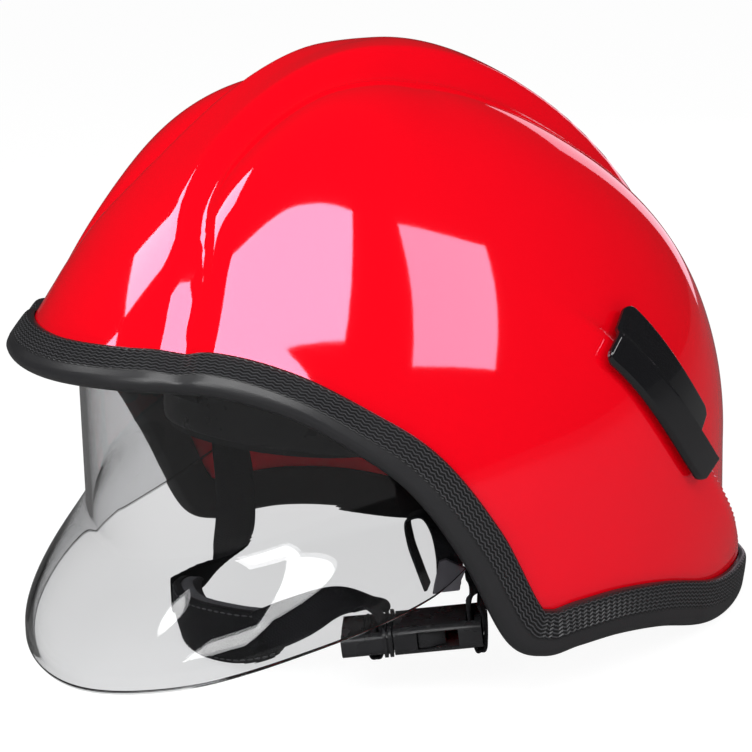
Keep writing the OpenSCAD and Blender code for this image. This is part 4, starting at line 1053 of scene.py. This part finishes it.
class HELMET_OT_side_covers(PieceOperator):
    """Fit the two-leaved black covers on the side steps"""

    bl_idname = "helmet.side_covers"
    bl_label = "Side covers"

    def make(self, shell, sizes):
        cover = SideCover(shell)
        low, high, short = COVER_WIDTH * LOWER_LEAF, COVER_WIDTH * UPPER_LEAF, COVER_LENGTH - COVER_SHORT
        quarter = np.linspace(0, np.pi / 2, 8)
        s = np.unique(np.concatenate([
            COVER_END * (1 - np.cos(quarter)),
            np.linspace(COVER_END, short - COVER_END, 56),
            short - COVER_END + COVER_END * np.sin(quarter),
            np.linspace(short + 0.1, short + 0.6, 3),
            np.linspace(short + 0.8, COVER_LENGTH - COVER_END, 6),
            COVER_LENGTH - COVER_END + COVER_END * np.sin(quarter)]))[:, None]
        w = np.sin(np.linspace(-np.pi / 2, np.pi / 2, 61))
        w = (np.sign(w) * np.abs(w) ** 0.9)[None, :]
        down = cover.half(np.minimum(s, COVER_LENGTH - s), low)
        top = np.where(s > short, UPPER_REST, cover.half(np.minimum(s, short - s), high))
        at = np.where(w < 0, w * down, w * top)
        rim = np.minimum(np.minimum(s, COVER_LENGTH - s), (1 - np.abs(w)) * np.where(w < 0, down, top))
        rim = np.where((s <= short) & (w > 0.35), np.minimum(rim, short - s), rim)
        shape = np.sqrt(1 - (1 - clamp(rim / COVER_RIM, 0, 1)) ** 2)
        over = cover.point(s, at, COVER_RISE + COVER_SHEET * shape)
        under = cover.point(s, at, np.full_like(at, COVER_RISE))[:, ::-1]
        rings = np.concatenate([over, under[:, 1:-1]], 1)
        for side, node in ((1, "side_cover_left"), (-1, "side_cover_right")):
            obj = loft(node + "_piece", rings * [side, 1, 1])
            finish_piece(obj, "cover", node, 50)


class HELMET_OT_visor(PieceOperator):
    """Form the clear visor with its bell-shaped foot, its arms, rivets and pivots"""

    bl_idname = "helmet.visor"
    bl_label = "Visor"

    def make(self, shell, sizes):
        n, rows, edge = 220, 90, 5
        a = VISOR_SIDE_ANGLE * (2 * np.arange(n + 1) / n - 1)
        t = np.linspace(0, 1, rows + 1) ** VISOR_CROWDING
        half = sizes.visor_sheet / 2
        quarter = np.linspace(0, np.pi / 2, edge, endpoint=False)
        round_in = half * (1 - np.cos(quarter))
        round_t = VISOR_ROUND * np.sin(quarter)
        t = t[(t > VISOR_ROUND) & (t < 1 - VISOR_ROUND)]
        front_t = np.concatenate([round_t, t, 1 - round_t[::-1]])
        inset = np.concatenate([half - round_in, np.zeros(len(t)), (half - round_in)[::-1]])
        ring_t = np.concatenate([front_t, front_t[::-1]])
        ring_in = np.concatenate([inset, 2 * half - inset[::-1]])
        obj = loft("visor_sheet", visor_wall(a[:, None], ring_t[None, :], ring_in[None, :]))
        finish_piece(obj, "visor", "visor_lens", 50)
        for node in ("visor_bracket_left", "visor_bracket_right", "visor_pivot_left", "visor_pivot_right",
                "pivot_washers"):
            dress_node(node, "moulding")
        for node in ("visor_rivets", "pivot_screws"):
            dress_node(node, "steel")


class HELMET_OT_liner(PieceOperator):
    """Set the foam liner inside the shell"""

    bl_idname = "helmet.liner"
    bl_label = "Impact liner"

    def make(self, shell, sizes):
        n, rows = 160, 48
        a = (360 * np.arange(n) / n)[None, :]
        level = sind(LINER_POLE_ANGLE * np.arange(rows + 1) / rows)[:, None]
        outside = liner_point(shell, a, level[::-1], np.full_like(level, LINER_EASE))
        inside = liner_point(shell, a, level, np.full_like(level, LINER_WALL))
        obj = loft("foam_liner", np.concatenate([outside, inside]))
        finish_piece(obj, "foam", "impact_liner", 50)


class HELMET_OT_headband(PieceOperator):
    """Bend the headband, its pads and the cradle straps"""

    bl_idname = "helmet.headband"
    bl_label = "Headband and cradle"

    def make(self, shell, sizes):
        n, blend = 240, 6
        a = BAND_END * (2 * np.arange(n + 1) / n - 1)
        tall = BAND_HEIGHT / 2 * np.where(np.abs(a) > BAND_NARROW, BAND_NARROW_SHARE, 1.0)
        window = 2 * blend + 1
        tall = np.convolve(np.pad(tall, blend, mode="edge"), np.ones(window) / window, "valid")
        x, y = superellipse(16, 0.6, 0.25)
        x = x * BAND_SHEET / 2
        rings = np.stack([band_point(a, out, tall * up) for out, up in zip(x, y)], 1)
        obj = loft("headband_strip", rings)
        finish_piece(obj, "band", "headband", 50)
        self.brow_cushion()
        for node, name, levels in (("nape_pad", "nape_cushion", 1), ("crown_pad", "crown_cushion", 2)):
            pad = subdivided(copy_of_node(node, name), levels)
            finish_piece(pad, "padding", node, 60)
        for node in ("crown_strap_side", "crown_strap_long"):
            dress_node(node, "webbing", 0.3)

    @staticmethod
    def brow_cushion():
        """Crowned pad behind the brow with sewn channels across it and a seam along each edge."""
        n, rows, height = 200, 48, BAND_HEIGHT + PAD_OVERLAP
        s = 2 * np.arange(n + 1) / n - 1
        a = PAD_REACH * s
        g = np.sqrt(np.maximum(0.04, 1 - np.abs(s) ** 4))
        from_channel = np.abs((s * PAD_CHANNELS) % 1 - 0.5)
        channel = 1 - CHANNEL_DEPTH * np.exp(-((from_channel / CHANNEL_WIDTH) ** 2))
        back = -BAND_SHEET / 2 - FIT_GAP
        rings = np.stack([
            band_point(a, back - PAD_THICK * np.cos(t) ** 0.55 * g * channel, height / 2 * np.sin(t) * g)
            for t in np.linspace(-np.pi / 2, np.pi / 2, rows)], 1)
        obj = loft("brow_cushion", rings)
        finish_piece(obj, "padding", "brow_pad", 60)
        route = [band_point(a, back - SEAM_DEPTH, g * height / 2 * SEAM_SHARE * e) for e in (-1, 1)]
        stitches("brow_cushion_seam", [r[4:-4] for r in route], 3.0, 0.6, "helmet")


class HELMET_OT_adjuster(PieceOperator):
    """Dress the ratchet adjuster behind the nape"""

    bl_idname = "helmet.adjuster"
    bl_label = "Ratchet adjuster"

    def make(self, shell, sizes):
        for node in ("ratchet_cover", "ratchet_housing", "rack_left", "rack_right", "adjuster_pinion"):
            dress_node(node, "moulding", 0.2)
        dress_node("adjuster_knob", "trim", 0.5, 3)
        dress_node("knob_screw", "steel", 0.15)


class HELMET_OT_chin_straps(PieceOperator):
    """Lead the woven chin straps and their anchors, with the plate and the folded tail"""

    bl_idname = "helmet.chin_straps"
    bl_label = "Chin straps"

    def make(self, shell, sizes):
        for node, points, wides, width, steps in (
            ("strap_left", STRAP_LEFT, STRAP_LEFT_WIDES, sizes.web_width, 220),
            ("strap_right", STRAP_RIGHT, STRAP_RIGHT_WIDES, sizes.web_width, 180),
            ("strap_front", STRAP_FRONT, STRAP_FRONT_WIDES, sizes.web_width, 220),
            ("strap_tail", STRAP_TAIL, STRAP_TAIL_WIDES, TAIL_WIDTH, 140),
        ):
            obj = ribbon(node + "_web", points, wides, width, sizes.web_thick, steps)
            finish_piece(obj, "webbing", node, 70)
        for node in ("strap_anchor_left", "strap_anchor_right", "strap_tab_left", "strap_tab_right"):
            dress_node(node, "moulding", 0.3)
        dress_node("anchor_rivets", "steel", 0.2)
        dress_node("strap_plate", "plate", 0.5, 4)


class HELMET_OT_chin_cup(PieceOperator):
    """Stuff and stitch the chin cup and its lining"""

    bl_idname = "helmet.chin_cup"
    bl_label = "Chin cup"

    def make(self, shell, sizes):
        n, rows, last = 150, 44, len(CUP_ROUTE) - 1
        s = (last * np.arange(n + 1) / n)[:, None]
        across = np.sin(np.linspace(-np.pi / 2, np.pi / 2, rows))[None, :]
        crown = curve(CUP_CROWN, across) * CUP_CROWN_SHARE
        for name, node, inner, outer, share, finish, fill in (
            ("chin_cup_cover", "chin_cup", 0.0, CUP_COVER, 1.0, "padding", 0.5),
            ("chin_cup_lining", "chin_pad", -CUP_THICK, -FIT_GAP, CUP_LINING_SHARE, "chin_pad", 0.7),
        ):
            over = cup_point(s, across * share, crown + outer)
            under = cup_point(s, across[:, ::-1] * share, crown[:, ::-1] + inner)
            obj = loft(name, np.concatenate([over, under], 1))
            bevel(obj, CUP_EDGE, 3, 50)
            finish_piece(obj, finish, node, 70)
        s = np.linspace(CUP_SEAM_END, last - CUP_SEAM_END, 160)
        routes = [cup_point(s, e, curve(CUP_CROWN, e) * CUP_CROWN_SHARE + CUP_SEAM_OUT)
            for e in (-CUP_SEAM, CUP_SEAM)]
        stitches("chin_cup_seam", routes, sizes.stitch_pitch, 0.7, "chin_strap")


class HELMET_OT_buckle(PieceOperator):
    """Dress the side-release buckle"""

    bl_idname = "helmet.buckle"
    bl_label = "Buckle"

    def make(self, shell, sizes):
        for node in ("buckle_socket", "buckle_plug", "prong_left", "prong_right"):
            dress_node(node, "buckle", 0.45, 3)


# The stage.


# Camera: angles in degrees, distance and aim in metres, the picture's side, focal length and middle in
# pixels.
CAMERA_AZIMUTH, CAMERA_HEIGHT, CAMERA_ROLL = 53.44, 13.73, -1.51
CAMERA_DISTANCE, CAMERA_AIM = 0.9357, 0.11
PICTURE = 752
CAMERA_FOCAL = 2252.2
CAMERA_MIDDLE = (370.3, 368.0)
SENSOR = 36

# Softboxes: bearing from the brow and height in degrees, distance and size in metres, watts, colour, and
# roll in degrees. They face LAMP_AIM.
LAMP_AIM = Vector((0, 0, 0.12))
WHITE = (1, 1, 1)
LAMPS = (
    ("front_softbox", 52, 46.5, 1.5, (1.2, 0.55), 14, WHITE, 0),
    ("far_softbox", -42, 47, 1.5, (0.5, 0.5), 5.5, WHITE, 0),
    ("side_softbox", 111, 31, 1.5, (0.54, 0.62), 5, WHITE, -25),
    ("low_softbox", 20, 27, 1.5, (0.62, 0.4), 6, WHITE, 0),
    ("rear_glow", -153, 2, 1.6, (0.4, 1.2), 2, (1, 0.85, 0.95), 0),
)

# Light of the world on the helmet and in its reflections, and what the floor shows: its own glow where a
# mirror or the camera sees it, and how much of that hides its plain white.
WORLD_FILL, WORLD_MIRRORED = 0.34, 0.03
FLOOR_RADIUS, FLOOR_WHITE = 6, 0.82
FLOOR_SEEN, FLOOR_MIRRORED, FLOOR_SHARE = 1.07, 0.03, 0.85


def bearing(azimuth, height):
    """Direction from the helmet at an azimuth from the brow and a height angle, in radians."""
    return Vector((
        math.sin(azimuth) * math.cos(height), -math.cos(azimuth) * math.cos(height), math.sin(height)))


def lamp(name, azimuth, height, distance, size, power, tone, roll):
    data = bpy.data.lights.new(name, "AREA")
    data.shape = "RECTANGLE"
    data.size, data.size_y = size
    data.energy = power
    data.color = tone
    obj = bpy.data.objects.new(name, data)
    bpy.context.scene.collection.objects.link(obj)
    obj.location = LAMP_AIM + distance * bearing(math.radians(azimuth), math.radians(height))
    turn = (LAMP_AIM - obj.location).to_track_quat("-Z", "Y").to_matrix()
    obj.rotation_euler = (turn @ Matrix.Rotation(math.radians(roll), 3, "Z")).to_euler()


def seen_straight(tree, path):
    """1 for rays from the camera, straight or through clear sheets, without a reflection on the way."""
    plain = maths(tree, "LESS_THAN", path.outputs["Glossy Depth"], 0.5)
    through = maths(tree, "MULTIPLY", path.outputs["Is Transmission Ray"], plain)
    return maths(tree, "MAXIMUM", path.outputs["Is Camera Ray"], through)


class HELMET_OT_stage(PieceOperator):
    """Set the camera, the lamps, the world and the pale floor"""

    bl_idname = "helmet.stage"
    bl_label = "Stage"

    def make(self, shell, sizes):
        scene = bpy.context.scene
        self.camera(scene)
        scene.view_settings.view_transform = "Standard"
        self.world(scene)
        self.floor()
        for values in LAMPS:
            lamp(*values)

    @staticmethod
    def camera(scene):
        data = bpy.data.cameras.new("camera")
        data.sensor_width = SENSOR
        data.lens = CAMERA_FOCAL * SENSOR / PICTURE
        data.shift_x = (PICTURE / 2 - CAMERA_MIDDLE[0]) / PICTURE
        data.shift_y = (CAMERA_MIDDLE[1] - PICTURE / 2) / PICTURE
        data.clip_start, data.clip_end = 0.05, 50
        cam = bpy.data.objects.new("camera", data)
        scene.collection.objects.link(cam)
        a, e, roll = (math.radians(v) for v in (CAMERA_AZIMUTH, CAMERA_HEIGHT, CAMERA_ROLL))
        back = bearing(a, e)
        level = Vector((math.cos(a), math.sin(a), 0))
        right = math.cos(roll) * level + math.sin(roll) * back.cross(level)
        up = back.cross(right)
        cam.matrix_world = Matrix((right, up, back)).transposed().to_4x4()
        cam.location = Vector((0, 0, CAMERA_AIM)) + Vector(REST / 1000) + back * CAMERA_DISTANCE
        scene.camera = cam

    @staticmethod
    def world(scene):
        scene.world = bpy.data.worlds.new("studio")
        tree = emptied(scene.world)
        path = add(tree, "ShaderNodeLightPath")
        fill, mirrored, white = (
            add(tree, "ShaderNodeBackground", {"Color": (1, 1, 1, 1), "Strength": strength}).outputs[0]
            for strength in (WORLD_FILL, WORLD_MIRRORED, 1.0))
        lit = add(tree, "ShaderNodeMixShader", {0: path.outputs["Is Glossy Ray"], 1: fill, 2: mirrored})
        mix = add(tree, "ShaderNodeMixShader", {0: seen_straight(tree, path), 1: lit.outputs[0], 2: white})
        add(tree, "ShaderNodeOutputWorld", {"Surface": mix.outputs[0]})

    @staticmethod
    def floor():
        bm = bmesh.new()
        bmesh.ops.create_circle(bm, cap_ends=True, segments=96, radius=FLOOR_RADIUS)
        mesh = bpy.data.meshes.new("floor")
        bm.to_mesh(mesh)
        bm.free()
        mat = bpy.data.materials.new("floor_white")
        tree = emptied(mat)
        path = add(tree, "ShaderNodeLightPath")
        seen = seen_straight(tree, path)
        plain = add(tree, "ShaderNodeBsdfDiffuse", {"Color": (FLOOR_WHITE, FLOOR_WHITE, FLOOR_WHITE, 1)})
        strength = maths(tree, "MULTIPLY_ADD", seen, FLOOR_SEEN, FLOOR_MIRRORED)
        glow = add(tree, "ShaderNodeEmission", {"Color": (1, 1, 1, 1), "Strength": strength})
        shown = maths(tree, "MAXIMUM", seen, path.outputs["Is Glossy Ray"])
        share = maths(tree, "MULTIPLY", shown, FLOOR_SHARE)
        mix = add(tree, "ShaderNodeMixShader", {0: share, 1: plain.outputs[0], 2: glow.outputs[0]})
        add(tree, "ShaderNodeOutputMaterial", {"Surface": mix.outputs[0]})
        mesh.materials.append(mat)
        link("floor", mesh)


PIECES = (HELMET_OT_shell, HELMET_OT_edge_trim, HELMET_OT_side_covers, HELMET_OT_visor, HELMET_OT_liner,
    HELMET_OT_headband, HELMET_OT_adjuster, HELMET_OT_chin_straps, HELMET_OT_chin_cup, HELMET_OT_buckle,
    HELMET_OT_stage)


class HELMET_PT_panel(bpy.types.Panel):
    bl_idname = "HELMET_PT_panel"
    bl_label = "Fire helmet"
    bl_space_type = "VIEW_3D"
    bl_region_type = "UI"
    bl_category = "Helmet"

    def draw(self, context):
        layout = self.layout
        for group in (context.scene.helmet_sizes, context.scene.helmet_colours):
            box = layout.box()
            for key in group.bl_rna.properties.keys():
                if key not in ("rna_type", "name"):
                    box.prop(group, key)
        for piece in PIECES:
            layout.operator(piece.bl_idname)


CLASSES = (HelmetSizes, HelmetColours, *PIECES, HELMET_PT_panel)


def register():
    for item in CLASSES:
        bpy.utils.register_class(item)
    bpy.types.Scene.helmet_sizes = bpy.props.PointerProperty(type=HelmetSizes)
    bpy.types.Scene.helmet_colours = bpy.props.PointerProperty(type=HelmetColours)


def unregister():
    del bpy.types.Scene.helmet_colours
    del bpy.types.Scene.helmet_sizes
    for item in reversed(CLASSES):
        bpy.utils.unregister_class(item)


def main():
    register()
    for piece in PIECES:
        group, name = piece.bl_idname.split(".")
        if getattr(getattr(bpy.ops, group), name)() != {"FINISHED"}:
            raise RuntimeError(piece.bl_label + " did not finish")


if __name__ == "__main__":
    main()
